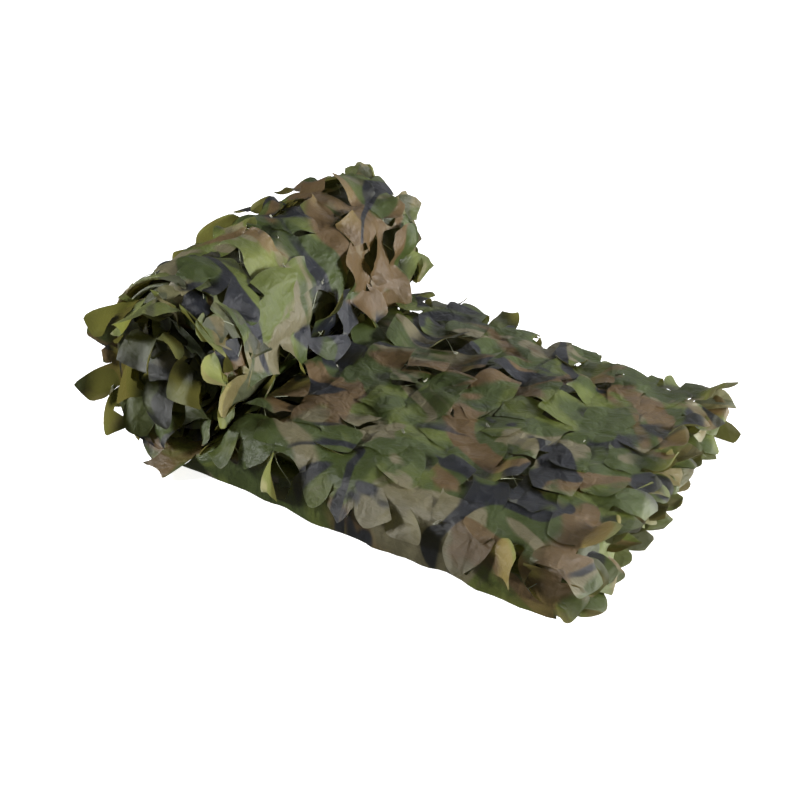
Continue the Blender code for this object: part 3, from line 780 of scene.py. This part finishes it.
class Ground:
    """The exposed flat top, or the roll's outer turn, and how high the leaves are piled on it."""

    def __init__(self, rolled):
        self.rolled = rolled
        self.pile = np.zeros(PILE_SHAPE)

    def measure(self, points):
        """Place along the ground, place across it and height above it."""
        if not self.rolled:
            along = np.clip(STRIP_ORIGIN[0] - points[:, 0], 0.0, FLAT_LENGTH)
            return along, points[:, 1], points[:, 2] - np.interp(along, PLACES, HEIGHTS) + SKIN + TOP_TUCK
        aside, down = ROLL_AXIS[0] - points[:, 0], ROLL_AXIS[2] - points[:, 2]
        angle = np.arctan2(aside, down) % math.tau
        tuck = ROLL_TUCK * np.clip(angle / TUCK_ANGLE, 0.0, 1.0)
        least = (ROLL_RADIUS - WIND_PITCH * angle / math.tau - SKIN - tuck) * sagged(angle)
        return angle * ROLL_RADIUS, points[:, 1], np.hypot(aside, down) - least

    def raise_by(self, points, lift):
        """Move points away from the ground."""
        if not self.rolled:
            return points + np.outer(lift, (0.0, 0.0, 1.0))
        spoke = (points - ROLL_AXIS) * (1.0, 0.0, 1.0)
        return points + unit(spoke) * lift[:, None]

    def lower(self, points, easy, share):
        """Bring down what stands off further than is easy, by a share of what is too much."""
        return self.raise_by(points, -share * np.maximum(0.0, self.measure(points)[2] - easy))

    def cells(self, along, across):
        """Rows and columns of the pile at these places."""
        i = np.clip((along / PILE_CELL).astype(int) + 2, 1, PILE_SHAPE[0] - 2)
        j = np.clip(((across + PILE_SIDE) / PILE_CELL).astype(int), 1, PILE_SHAPE[1] - 2)
        return i, j

    def lay(self, points, heights, share):
        """Lay a leaf's points on what is there already, and add them to the pile."""
        along, across, height = self.measure(points)
        i, j = self.cells(along, across)
        lift = np.maximum(0.0, LEAF_REST + heights - height)
        points, height = self.raise_by(points, lift), height + lift
        loose = eased(share, 0.1, 0.8)
        below = self.pile[i, j]
        need = (below + LEAF_STEP - height) / np.maximum(loose, 0.01)
        need = np.where((below > 0) & (loose > 0.25), need, 0.0)
        lift = min(MOST_LIFT, max(0.0, need.max())) * loose
        points, height = self.raise_by(points, lift), height + lift
        points = self.lower(points, EASY_STAND, LAID_EASE)
        low = (height < PILE_TOP) & (share > 0.15)
        for di in (-1, 0, 1):
            for dj in (-1, 0, 1):
                np.maximum.at(self.pile, (i[low] + di, j[low] + dj), height[low])
        return points


TOP_GROUND, ROLL_GROUND = Ground(False), Ground(True)


def stack_shade_share(flat_points):
    """Painted shade: 1 on the layers inside the stack and the roll, 0 on the cloth outside and along the
    folds.
    """
    s, w = flat_points.T
    shares = np.zeros(len(s))
    for layer, (first, last) in enumerate(SPANS):
        outside = (s < FLAT_LENGTH) if layer == 0 else (s >= FLAT_LENGTH) & (s < OUTER_TURN + 0.05)
        if 0 < layer < LAYERS - 1:
            outside = np.zeros(len(s), bool)
        depth = eased(np.minimum(w - first, last - w), 0.01, 0.05) * eased(s, 0.03, 0.09)
        shares = np.where((w > first) & (w < last) & ~outside, depth, shares)
    return np.maximum(shares, 0.75 * eased(s, OUTER_TURN, OUTER_TURN + 0.15))


base, along_way, width_way, outward = cloth_frame(flat)
heights = stand_off(flat)
base = base + outward * heights[:, None]
base[:, 2] = np.maximum(base[:, 2], FLOOR_GAP)

cut_marks = np.zeros(len(flat))
for leaf in leaves + lobes:
    ids = [found[leaf.first_id + number] for number in range(len(leaf.cut))]
    cut_marks[ids[1:-1]] = 1.0


def fitted_leaf(leaf, ids, neck):
    """Where one leaf's points lie: bent from its neck, less so if it reaches too far, and laid on the rest."""
    neck_aside = (flat[neck] - leaf.neck) @ leaf.side
    order = np.argsort(neck_aside)

    def neck_line(aside):
        """Points of the cloth along the leaf's neck."""
        return np.stack([np.interp(aside, neck_aside[order], base[neck][order, k]) for k in range(3)], axis=-1)

    neck_frame = (neck_line(np.zeros(1))[0],
                  *(unit(ways[neck].mean(axis=0)) for ways in (along_way, width_way, outward)))
    bent = bent_points(leaf, flat[ids], neck_frame, neck_line)
    for _ in range(EASE_TRIES):
        if (bent >= LOWEST).all() and (bent <= HIGHEST).all():
            break
        leaf.rise, leaf.swing = EASE_SHARE * leaf.rise, EASE_SHARE * leaf.swing
        leaf.curl = EASE_SHARE * leaf.curl - EASE_DROOP
        bent = bent_points(leaf, flat[ids], neck_frame, neck_line)
    share = (flat[ids] - leaf.neck) @ leaf.ahead / leaf.length
    ground = ROLL_GROUND if leaf.neck[0] > FLAT_LENGTH else TOP_GROUND
    if leaf.pose in ("top", "roll"):
        bent = ground.lay(bent, heights[ids], share)
    elif leaf.pose == "foot":
        short = np.maximum(0.0, FOOT_REST - TOP_GROUND.measure(bent)[2])
        bent = TOP_GROUND.raise_by(bent, short * eased(share, 0.2, 0.6))
    elif leaf.pose in ("rim", "fold", "wound"):
        bent = ground.lower(bent, RIM_STAND, RIM_EASE)
    bent = np.clip(bent, LOWEST, HIGHEST)
    bent[:, 2] = np.maximum(bent[:, 2], FLOOR_GAP)
    return bent


mesh_points, mesh_flat, mesh_marks = [base], [flat], [cut_marks]
faces = triangles.copy()
next_id = len(flat)
for number, leaf in enumerate(leaves + lobes):
    draw_pose(leaf)
    mine = np.flatnonzero(owner == number)
    neck = np.array([found[point] for point in leaf.neck_ids])
    ids = np.setdiff1d(np.unique(triangles[mine]), neck)
    mesh_points.append(fitted_leaf(leaf, ids, neck))
    mesh_flat.append(flat[ids])
    mesh_marks.append(cut_marks[ids])
    remap = np.arange(len(flat))
    remap[ids] = np.arange(next_id, next_id + len(ids))
    faces[mine] = remap[triangles[mine]]
    next_id += len(ids)

used, faces = np.unique(faces, return_inverse=True)
faces = faces.reshape(-1, 3)[:, ::-1]
mesh_points, mesh_flat, mesh_marks = (np.concatenate(parts)[used]
                                      for parts in (mesh_points, mesh_flat, mesh_marks))
mesh = bpy.data.meshes.new("cloth")
mesh.from_pydata(mesh_points.tolist(), [], faces.tolist())
mesh.uv_layers.new(name="flat").data.foreach_set("uv", mesh_flat[faces].reshape(-1))
# marks on the cut edges, and how much painted shade darkens the cloth deep in the stack
for name, values in (("cut_edge", mesh_marks), ("painted_stack_shade", stack_shade_share(mesh_flat))):
    mesh.attributes.new(name, "FLOAT", "POINT").data.foreach_set("value", values)
mesh.polygons.foreach_set("use_smooth", [True] * len(faces))
mesh.update()
cloth = add_object("leaf_cut_cloth", mesh)


# --- Leaf-cut cloth: its material ---------------------------------------------------------------------------
# Thin woven polyester with a satin face, printed in greens, khaki, brown and near-black. Its reverse is paler,
# light comes through it a little, and a thin pale line runs along the cuts: partly the edge that the heat of
# the cutting leaves, partly a painted highlight where that edge catches light. The cloth deep in the stack is
# darkened with painted shade.

PRINT_COLOURS = {
    "Ground": (0.044, 0.064, 0.012, 1.0), "Light": (0.100, 0.125, 0.024, 1.0),
    "Khaki": (0.164, 0.145, 0.082, 1.0), "Brown": (0.120, 0.075, 0.031, 1.0),
    "Black": (0.007, 0.009, 0.016, 1.0),
}
PATCH_SCALE = 5.6
PATCHES = [
    # colour, noise at which it starts to show and shows fully, and the noise's seed, scale, detail and squeeze
    ("Light", 0.52, 0.60, (1.0, 1.1, 2.0, 1.4)),
    ("Khaki", 0.562, 0.612, (2.0, 1.1, 2.5, 1.5)),
    ("Brown", 0.540, 0.585, (3.0, 0.9, 2.5, 1.3)),
]
BRANCH_WIDTH = (0.028, 0.042)
BRANCHED = (0.50, 0.53)       # where the branches show
BLOTS = (0.625, 0.655)
REVERSE_TINT = (0.250, 0.270, 0.110, 1.0)
# pale line along the cuts: partly the fused cut edge, partly a painted highlight
CUT_EDGE_AND_HIGHLIGHT_TINT = (0.420, 0.420, 0.310, 1.0)
# painted shade for the cloth deep in the stack and the roll
STACK_SHADE_TINT = (0.010, 0.012, 0.006, 1.0)
THROUGH_TINT = (0.52, 0.47, 0.11, 1.0)
REVERSE_SHARE = 0.28          # how much of these tints the reverse,
CUT_EDGE_AND_HIGHLIGHT_SHARE = 0.14             # the cut edges, partly as painted highlight,
STACK_SHADE_SHARE = 0.85             # the cloth deep in the stack, as painted shade
THROUGH_SHARE = 0.50          # and the light that comes through take on
THROUGH_LIGHT = 0.28          # share of the light that comes through
THREAD_SCALE, CREASE_SCALE = 1400.0, 52.0
STREAK_SCALE = (90.0, 700.0, 1.0)
STREAK_DARK, STREAK_SPAN = 0.65, 0.70
CREASE_HEIGHT, WEAVE_HEIGHT = 8.0, 0.15
BUMP_STRENGTH, BUMP_DEPTH = 0.60, 0.001
CLOTH_ROUGHNESS = 0.46
CLOTH_SHINE = 0.55


def new_group(name, inputs, outputs, tree_type="ShaderNodeTree"):
    """A node group with named sockets. Each is of a kind, and an input may have a value."""
    group = bpy.data.node_groups.new(name, tree_type)
    for label, kind, value in inputs:
        socket = group.interface.new_socket(label, in_out="INPUT", socket_type="NodeSocket" + kind)
        if value is not None:
            socket.default_value = value
    for label, kind in outputs:
        group.interface.new_socket(label, in_out="OUTPUT", socket_type="NodeSocket" + kind)
    return group, group.nodes.new("NodeGroupInput"), group.nodes.new("NodeGroupOutput")


def add_node(tree, kind, settings=None, **links):
    """A node with its settings, and its input sockets by name, each given a value or a link."""
    node = tree.nodes.new(kind)
    for key, value in (settings or {}).items():
        setattr(node, key, value)
    for label, value in links.items():
        socket = node.inputs[int(label[1:])] if label[0] == "_" else node.inputs[label.replace("_", " ")]
        if isinstance(value, bpy.types.NodeSocket):
            tree.links.new(value, socket)
        else:
            socket.default_value = value
    return node


def maths(tree, operation, a, b=0.0):
    """One operation on two values."""
    return add_node(tree, "ShaderNodeMath", {"operation": operation}, _0=a, _1=b).outputs[0]


def mixed(tree, factor, a, b, blend="MIX"):
    """Colour a blended with colour b."""
    settings = {"data_type": "RGBA", "blend_type": blend}
    return add_node(tree, "ShaderNodeMix", settings, _0=factor, _6=a, _7=b).outputs[2]


def ramp(tree, value, low, high):
    """0 below low, 1 above high, and smooth between."""
    settings = {"interpolation_type": "SMOOTHSTEP"}
    return add_node(tree, "ShaderNodeMapRange", settings, Value=value, From_Min=low, From_Max=high).outputs[0]


def soft_noise(tree, place, **values):
    """Noise over the flat sheet."""
    return add_node(tree, "ShaderNodeTexNoise", {"noise_dimensions": "2D"}, Vector=place, **values).outputs[0]


def print_group():
    """A woodland print: a green ground, broad patches with ragged edges, and black branches over them."""
    group, inputs, outputs = new_group(
        "woodland_print",
        [("Vector", "Vector", None), ("Patch", "Float", PATCH_SCALE)]
        + [(label, "Color", colour) for label, colour in PRINT_COLOURS.items()],
        [("Color", "Color")])

    def blobs(seed, share, detail, squeeze):
        """Soft noise, which has its own place and is squeezed over the width."""
        scale = maths(group, "MULTIPLY", inputs.outputs["Patch"], share)
        shift = add_node(group, "ShaderNodeMapping", None, Vector=inputs.outputs["Vector"],
                         Location=(seed * 4.3, seed * 2.7, seed), Scale=(1.0, squeeze, 1.0))
        return soft_noise(group, shift.outputs[0], Scale=scale, Detail=detail, Roughness=0.55, Distortion=0.6)

    colour = inputs.outputs["Ground"]
    for label, low, high, blob in PATCHES:
        colour = mixed(group, ramp(group, blobs(*blob), low, high), colour, inputs.outputs[label])
    ridge = maths(group, "ABSOLUTE", maths(group, "SUBTRACT", blobs(4.0, 0.8, 2.0, 1.3), 0.5))
    branch = maths(group, "SUBTRACT", 1.0, ramp(group, ridge, *BRANCH_WIDTH))
    black = maths(group, "MULTIPLY", branch, ramp(group, blobs(5.0, 0.7, 2.0, 1.2), *BRANCHED))
    blots = ramp(group, blobs(6.0, 0.9, 2.5, 1.4), *BLOTS)
    colour = mixed(group, maths(group, "MAXIMUM", black, blots), colour, inputs.outputs["Black"])
    group.links.new(colour, outputs.inputs["Color"])
    return group


def weave_group():
    """The height of a plain weave and of the creases of thin cloth, and the streaks along its threads."""
    group, inputs, outputs = new_group(
        "thin_cloth",
        [("Vector", "Vector", None), ("Threads", "Float", THREAD_SCALE), ("Creases", "Float", CREASE_SCALE)],
        [("Weave", "Float"), ("Crease", "Float"), ("Streak", "Float")])
    place = inputs.outputs["Vector"]
    across, along = (add_node(group, "ShaderNodeTexWave", {"bands_direction": direction}, Vector=place,
                              Scale=inputs.outputs["Threads"]).outputs["Fac"] for direction in "XY")
    group.links.new(maths(group, "MULTIPLY", across, along), outputs.inputs["Weave"])
    crease = soft_noise(group, place, Scale=inputs.outputs["Creases"], Detail=2.5, Roughness=0.50,
                        Distortion=0.3)
    group.links.new(crease, outputs.inputs["Crease"])
    stretched = add_node(group, "ShaderNodeMapping", None, Vector=place, Scale=STREAK_SCALE).outputs[0]
    streak = soft_noise(group, stretched, Scale=1.0, Detail=3.0, Roughness=0.6)
    group.links.new(streak, outputs.inputs["Streak"])
    return group


def new_material(name, roughness):
    """A material, its nodes and its shader."""
    material = bpy.data.materials.new(name)
    material.use_nodes = True
    shader = material.node_tree.nodes["Principled BSDF"]
    shader.inputs["Roughness"].default_value = roughness
    return material, material.node_tree, shader


def cloth_material():
    """The printed cloth. Light comes through it a little."""
    material, tree, shader = new_material("printed_cloth", CLOTH_ROUGHNESS)
    place = add_node(tree, "ShaderNodeUVMap", {"uv_map": "flat"}).outputs[0]
    printed = add_node(tree, "ShaderNodeGroup", {"node_tree": print_group()}, Vector=place).outputs[0]
    relief = add_node(tree, "ShaderNodeGroup", {"node_tree": weave_group()}, Vector=place).outputs
    shade = maths(tree, "ADD", STREAK_DARK, maths(tree, "MULTIPLY", relief["Streak"], STREAK_SPAN))
    printed = mixed(tree, 1.0, printed, shade, "MULTIPLY")
    backface = add_node(tree, "ShaderNodeNewGeometry").outputs["Backfacing"]
    face = mixed(tree, backface, printed, mixed(tree, REVERSE_SHARE, printed, REVERSE_TINT))
    # pale line along the cuts: partly the fused cut edge, partly a painted highlight where it catches light
    mark = add_node(tree, "ShaderNodeAttribute", {"attribute_name": "cut_edge"}).outputs["Fac"]
    edged = mixed(tree, maths(tree, "MULTIPLY", ramp(tree, mark, 0.90, 1.0), CUT_EDGE_AND_HIGHLIGHT_SHARE), face, CUT_EDGE_AND_HIGHLIGHT_TINT)
    # painted shade: the cloth deep in the stack and the roll is darkened towards near-black
    inner = add_node(tree, "ShaderNodeAttribute", {"attribute_name": "painted_stack_shade"}).outputs["Fac"]
    colour = mixed(tree, maths(tree, "MULTIPLY", inner, STACK_SHADE_SHARE), edged, STACK_SHADE_TINT)
    tree.links.new(colour, shader.inputs["Base Color"])
    height = maths(tree, "ADD", maths(tree, "MULTIPLY", relief["Crease"], CREASE_HEIGHT),
                   maths(tree, "MULTIPLY", relief["Weave"], WEAVE_HEIGHT))
    bump = add_node(tree, "ShaderNodeBump", None, Strength=BUMP_STRENGTH, Distance=BUMP_DEPTH, Height=height)
    tree.links.new(bump.outputs[0], shader.inputs["Normal"])
    shader.inputs["Specular IOR Level"].default_value = CLOTH_SHINE
    glow = mixed(tree, THROUGH_SHARE, colour, THROUGH_TINT)
    through = add_node(tree, "ShaderNodeBsdfTranslucent", None, Color=glow).outputs[0]
    mix = add_node(tree, "ShaderNodeMixShader", None, _0=THROUGH_LIGHT, _1=shader.outputs[0], _2=through)
    tree.links.new(mix.outputs[0], tree.nodes["Material Output"].inputs["Surface"])
    return material


cloth.data.materials.append(cloth_material())
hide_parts("net")
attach(cloth, "root")


# --- Backing mesh -------------------------------------------------------------------------------------------
# Thin cord in crossing diagonals, which lies behind the cloth, is tied to it and carries it. It shows only
# through the gaps under open leaves.

CORD_PITCH = 0.060
CORD_RADIUS = 0.0006
CORD_DEPTH = 0.0040           # behind the cloth
CORD_STEP = 0.009
CORD_SIDES = 5
CORD_COLOUR = (0.30, 0.32, 0.22, 1.0)
CORD_EDGE_ROOM = 0.006        # from the cords' ends to the sheet's sides
CORD_TOP = 0.655              # where cords show, along the sheet: as far as this on the top,
CORD_END = 0.095              # and as far as this in every layer
CORD_FOLD_ROOM = 0.02         # from the cords' ends to the folds
THREAD_ROUGHNESS = 0.8
CORD_OFFSETS = np.arange(-OUTER_TURN, SHEET_WIDTH + OUTER_TURN, CORD_PITCH * math.sqrt(2))


def cord_shows(s, w):
    """Whether a place of the flat sheet lies where its backing can be seen."""
    on_top = s < CORD_TOP and w < SPANS[0][1] - CORD_FOLD_ROOM
    on_roll = ROLL_START < s < OUTER_TURN and w > SPANS[5][0]
    at_end = s < CORD_END and any(first + CORD_FOLD_ROOM < w < last - CORD_FOLD_ROOM for first, last in SPANS)
    on_sheet = HEM + 0.015 < s and CORD_EDGE_ROOM < w < SHEET_WIDTH - CORD_EDGE_ROOM
    return on_sheet and (on_top or on_roll or at_end)


def cord_lines():
    """The cords' lines on the flat sheet, cut off where they can't be seen."""
    lines = []
    for slope in (1, -1):
        for offset in CORD_OFFSETS:
            line = []
            for s in np.arange(HEM, OUTER_TURN, CORD_STEP / math.sqrt(2)):
                if cord_shows(s, offset + slope * s):
                    line.append((s, offset + slope * s))
                elif line:
                    lines.append(line)
                    line = []
            lines.append(line)
    return [line for line in lines if len(line) > 2]


def behind_cloth(flat_points, depth):
    """Places at a depth behind the folded cloth, and the directions out of its printed face there."""
    flat_points = np.array(flat_points)
    places, _, _, out = cloth_frame(flat_points)
    places = places + out * (stand_off(flat_points) - depth)[:, None]
    places[:, 2] = np.maximum(places[:, 2], FLOOR_GAP + 2 * CORD_RADIUS)
    return places, out


def plain_material(name, colour, roughness):
    """A material of one colour."""
    material, _, shader = new_material(name, roughness)
    shader.inputs["Base Color"].default_value = colour
    return material


def made_by_nodes(name, mesh, group, values):
    """A plain mesh object that a geometry node group makes from a mesh. Its inputs are given by name."""
    source = add_object(name, mesh)
    modifier = source.modifiers.new(name, "NODES")
    modifier.node_group = group
    for socket in group.interface.items_tree:
        if socket.name in values:
            modifier[socket.identifier] = values[socket.name]
    made = bpy.data.meshes.new_from_object(source.evaluated_get(bpy.context.evaluated_depsgraph_get()))
    source.modifiers.remove(modifier)
    source.data = made
    return source


def thread_along(group, curve, radius, sides):
    """A round thread along a curve."""
    circle = add_node(group, "GeometryNodeCurvePrimitiveCircle", None, Resolution=sides, Radius=radius)
    tube = add_node(group, "GeometryNodeCurveToMesh", None, Curve=curve, Profile_Curve=circle.outputs[0])
    return tube.outputs[0]


def finish_group(group, inputs, outputs, threads):
    """Make a group's threads real, and give them their material."""
    real = add_node(group, "GeometryNodeRealizeInstances", None, Geometry=threads).outputs[0]
    done = add_node(group, "GeometryNodeSetMaterial", None, Geometry=real, Material=inputs.outputs["Material"])
    group.links.new(done.outputs[0], outputs.inputs["Geometry"])
    return group


def cord_group():
    """Round cords along the edges of a mesh."""
    group, inputs, outputs = new_group(
        "cords",
        [("Geometry", "Geometry", None), ("Radius", "Float", None), ("Sides", "Int", None),
         ("Material", "Material", None)],
        [("Geometry", "Geometry")], "GeometryNodeTree")
    curve = add_node(group, "GeometryNodeMeshToCurve", None, Mesh=inputs.outputs["Geometry"]).outputs[0]
    cords = thread_along(group, curve, inputs.outputs["Radius"], inputs.outputs["Sides"])
    return finish_group(group, inputs, outputs, cords)


cord_points, cord_edges = [], []
for line in cord_lines():
    first = len(cord_points)
    cord_points += line
    cord_edges += [(first + i, first + i + 1) for i in range(len(line) - 1)]
cord_places, _ = behind_cloth(cord_points, CORD_DEPTH)
cord_mesh = bpy.data.meshes.new("backing_mesh")
cord_mesh.from_pydata(cord_places.tolist(), cord_edges, [])
backing = made_by_nodes("backing_mesh", cord_mesh, cord_group(),
                        {"Radius": CORD_RADIUS, "Sides": CORD_SIDES,
                         "Material": plain_material("cord", CORD_COLOUR, THREAD_ROUGHNESS)})
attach(backing, "root")


# --- Thread ties --------------------------------------------------------------------------------------------
# A loop of thread ties the cloth to the backing mesh at about one in three of the places where two of its
# cords cross behind whole cloth.

TIE_SHARE = 0.35              # of the crossings behind whole cloth
TIE_RADIUS = 0.0048
TIE_THREAD = 0.00045
TIE_COLOUR = (0.34, 0.34, 0.26, 1.0)
TIE_HEIGHT = 0.0012           # above the cloth
TIE_SEED = 3
TIE_LOWEST = 0.03             # above the floor
TIE_TURNS = 1.6
TIE_POINTS, TIE_SIDES = 14, 4
TIE_START, TIE_RISE = 0.45, 0.4          # of its radius: where its spiral starts, and how far it rises
TIE_LEAST, TIE_MOST = (0.4, 0.15, 0.6), (1.7, 0.45, 2.6)         # what its size is multiplied by
TIE_SPIN = (0.8, 0.8, math.pi)


def tie_spots():
    """Crossings of the backing's cords that lie behind whole cloth, on the flat sheet."""
    face_tree = kdtree.KDTree(len(centres))
    for index, (s, w) in enumerate(centres):
        face_tree.insert((s, w, 0.0), index)
    face_tree.balance()
    spots = []
    for rising in CORD_OFFSETS:
        for falling in CORD_OFFSETS:
            s, w = (falling - rising) / 2, (falling + rising) / 2
            behind = s < OUTER_TURN and cord_shows(s, w) and w > 0.05
            if behind and owner[face_tree.find((s, w, 0.0))[1]] < 0 and RNG.random() < TIE_SHARE:
                spots.append((s, w))
    return spots


def tie_group():
    """A loose loop of thread on each point, its axis along the point's facing."""
    group, inputs, outputs = new_group(
        "ties",
        [("Geometry", "Geometry", None), ("Loop", "Float", None), ("Thread", "Float", None),
         ("Seed", "Int", None), ("Material", "Material", None)],
        [("Geometry", "Geometry")], "GeometryNodeTree")
    radius, seed = inputs.outputs["Loop"], inputs.outputs["Seed"]
    loop = add_node(group, "GeometryNodeCurveSpiral", None, Resolution=TIE_POINTS, Rotations=TIE_TURNS,
                    Start_Radius=maths(group, "MULTIPLY", radius, TIE_START), End_Radius=radius,
                    Height=maths(group, "MULTIPLY", radius, TIE_RISE)).outputs[0]
    tie = thread_along(group, loop, inputs.outputs["Thread"], TIE_SIDES)
    facing = add_node(group, "GeometryNodeInputNamedAttribute", {"data_type": "FLOAT_VECTOR"}, Name="facing")
    upright = add_node(group, "FunctionNodeAlignRotationToVector", {"axis": "Z"}, Vector=facing.outputs[0])
    size, spin = (add_node(group, "FunctionNodeRandomValue", {"data_type": "FLOAT_VECTOR"}, _0=least, _1=most,
                           Seed=seed).outputs[0]
                  for least, most in ((TIE_LEAST, TIE_MOST), ([-angle for angle in TIE_SPIN], TIE_SPIN)))
    placed = add_node(group, "GeometryNodeInstanceOnPoints", None, Points=inputs.outputs["Geometry"],
                      Instance=tie, Rotation=upright.outputs[0], Scale=size).outputs[0]
    turned = add_node(group, "GeometryNodeRotateInstances", None, Instances=placed, Rotation=spin).outputs[0]
    return finish_group(group, inputs, outputs, turned)


tie_places, tie_facings = behind_cloth(tie_spots(), -TIE_HEIGHT)
clear = tie_places[:, 2] > TIE_LOWEST
tie_places, tie_facings = tie_places[clear], tie_facings[clear]
tie_mesh = bpy.data.meshes.new("thread_ties")
tie_mesh.from_pydata(tie_places.tolist(), [], [])
tie_mesh.attributes.new("facing", "FLOAT_VECTOR", "POINT").data.foreach_set("vector", tie_facings.reshape(-1))
ties = made_by_nodes("thread_ties", tie_mesh, tie_group(),
                     {"Loop": TIE_RADIUS, "Thread": TIE_THREAD, "Seed": TIE_SEED,
                      "Material": plain_material("thread", TIE_COLOUR, THREAD_ROUGHNESS)})
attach(ties, "root")


# --- Floor and light ----------------------------------------------------------------------------------------
# A plain white floor and backdrop, which glow but throw no light back into the gaps, and small soft lamps on
# both sides. Under the net the floor is dark grey and does not glow, as painted shade.

FLOOR_REACH = 30.0
FLOOR_COLOUR = (0.90, 0.90, 0.90, 1.0)
# dark grey painted shade for the floor under the net
UNDER_NET_SHADE_COLOUR = (0.30, 0.30, 0.30, 1.0)
FLOOR_ROUGHNESS = 0.9
WHITE = (1.0, 1.0, 1.0, 1.0)
FLOOR_GLOW = 0.86             # near the net,
FAR_GLOW = 0.21               # and how much more of it
GLOW_RISE = (1.0, 4.0)        # so far from it
WORLD_LIGHT = 0.15
BACKDROP_HEIGHT = 20.0
UNDER_NET = [(-0.20, -0.246), (0.39, -0.246), (0.39, 0.17), (-0.20, 0.17)]     # floor under the net: no glow, and dark grey as painted shade


def staged(name, points, faces, materials):
    """A piece of the studio, which lights nothing."""
    mesh = bpy.data.meshes.new(name)
    mesh.from_pydata(points, [], faces)
    for material in materials:
        mesh.materials.append(material)
    piece = add_object(name, mesh)
    piece.visible_diffuse = piece.visible_glossy = piece.visible_transmission = False
    return piece


floor_material = plain_material("white_floor", FLOOR_COLOUR, FLOOR_ROUGHNESS)
floor_tree = floor_material.node_tree
floor_shader = floor_tree.nodes["Principled BSDF"]
place = add_node(floor_tree, "ShaderNodeNewGeometry").outputs["Position"]
away = add_node(floor_tree, "ShaderNodeVectorMath", {"operation": "LENGTH"}, _0=place).outputs["Value"]
glow = maths(floor_tree, "ADD", FLOOR_GLOW,
             maths(floor_tree, "MULTIPLY", ramp(floor_tree, away, *GLOW_RISE), FAR_GLOW))
floor_tree.links.new(glow, floor_shader.inputs["Emission Strength"])
floor_shader.inputs["Emission Color"].default_value = WHITE
square = [(x * FLOOR_REACH, y * FLOOR_REACH) for x, y in ((-1, -1), (1, -1), (1, 1), (-1, 1))]
ring = [(side, (side + 1) % 4, 4 + (side + 1) % 4, 4 + side) for side in range(4)]
floor = staged("floor", [(x, y, 0.0) for x, y in square + UNDER_NET], ring + [(4, 5, 6, 7)],
               [floor_material, plain_material("under_net_shade", UNDER_NET_SHADE_COLOUR, FLOOR_ROUGHNESS)])
# the patch under the net gets the dark painted-shade material
floor.data.polygons[4].material_index = 1
staged("backdrop", [(x, y, z) for z in (0.0, BACKDROP_HEIGHT) for x, y in square], ring, [floor_material])

world = bpy.data.worlds.new("studio")
bpy.context.scene.world = world
world.use_nodes = True
world_light = world.node_tree.nodes["Background"].inputs
world_light["Color"].default_value, world_light["Strength"].default_value = WHITE, WORLD_LIGHT

LAMPS = [
    # name, size, power, place
    ("right_lamp", 0.6, 125.0, (2.40, 0.30, 0.75)),
    ("far_lamp", 0.5, 20.0, (1.7, 1.5, 0.45)),
    ("left_lamp", 0.6, 87.0, (-1.9, -1.5, 0.95)),
    ("back_lamp", 2.0, 24.0, (-0.3, 2.4, 1.6)),
]
for name, size, power, place in LAMPS:
    lamp = add_object(name, bpy.data.lights.new(name, "AREA"))
    lamp.data.size, lamp.data.energy = size, power
    lamp.location = place
    lamp.rotation_euler = (lamp.location - VIEW_TARGET).to_track_quat("Z", "Y").to_euler()
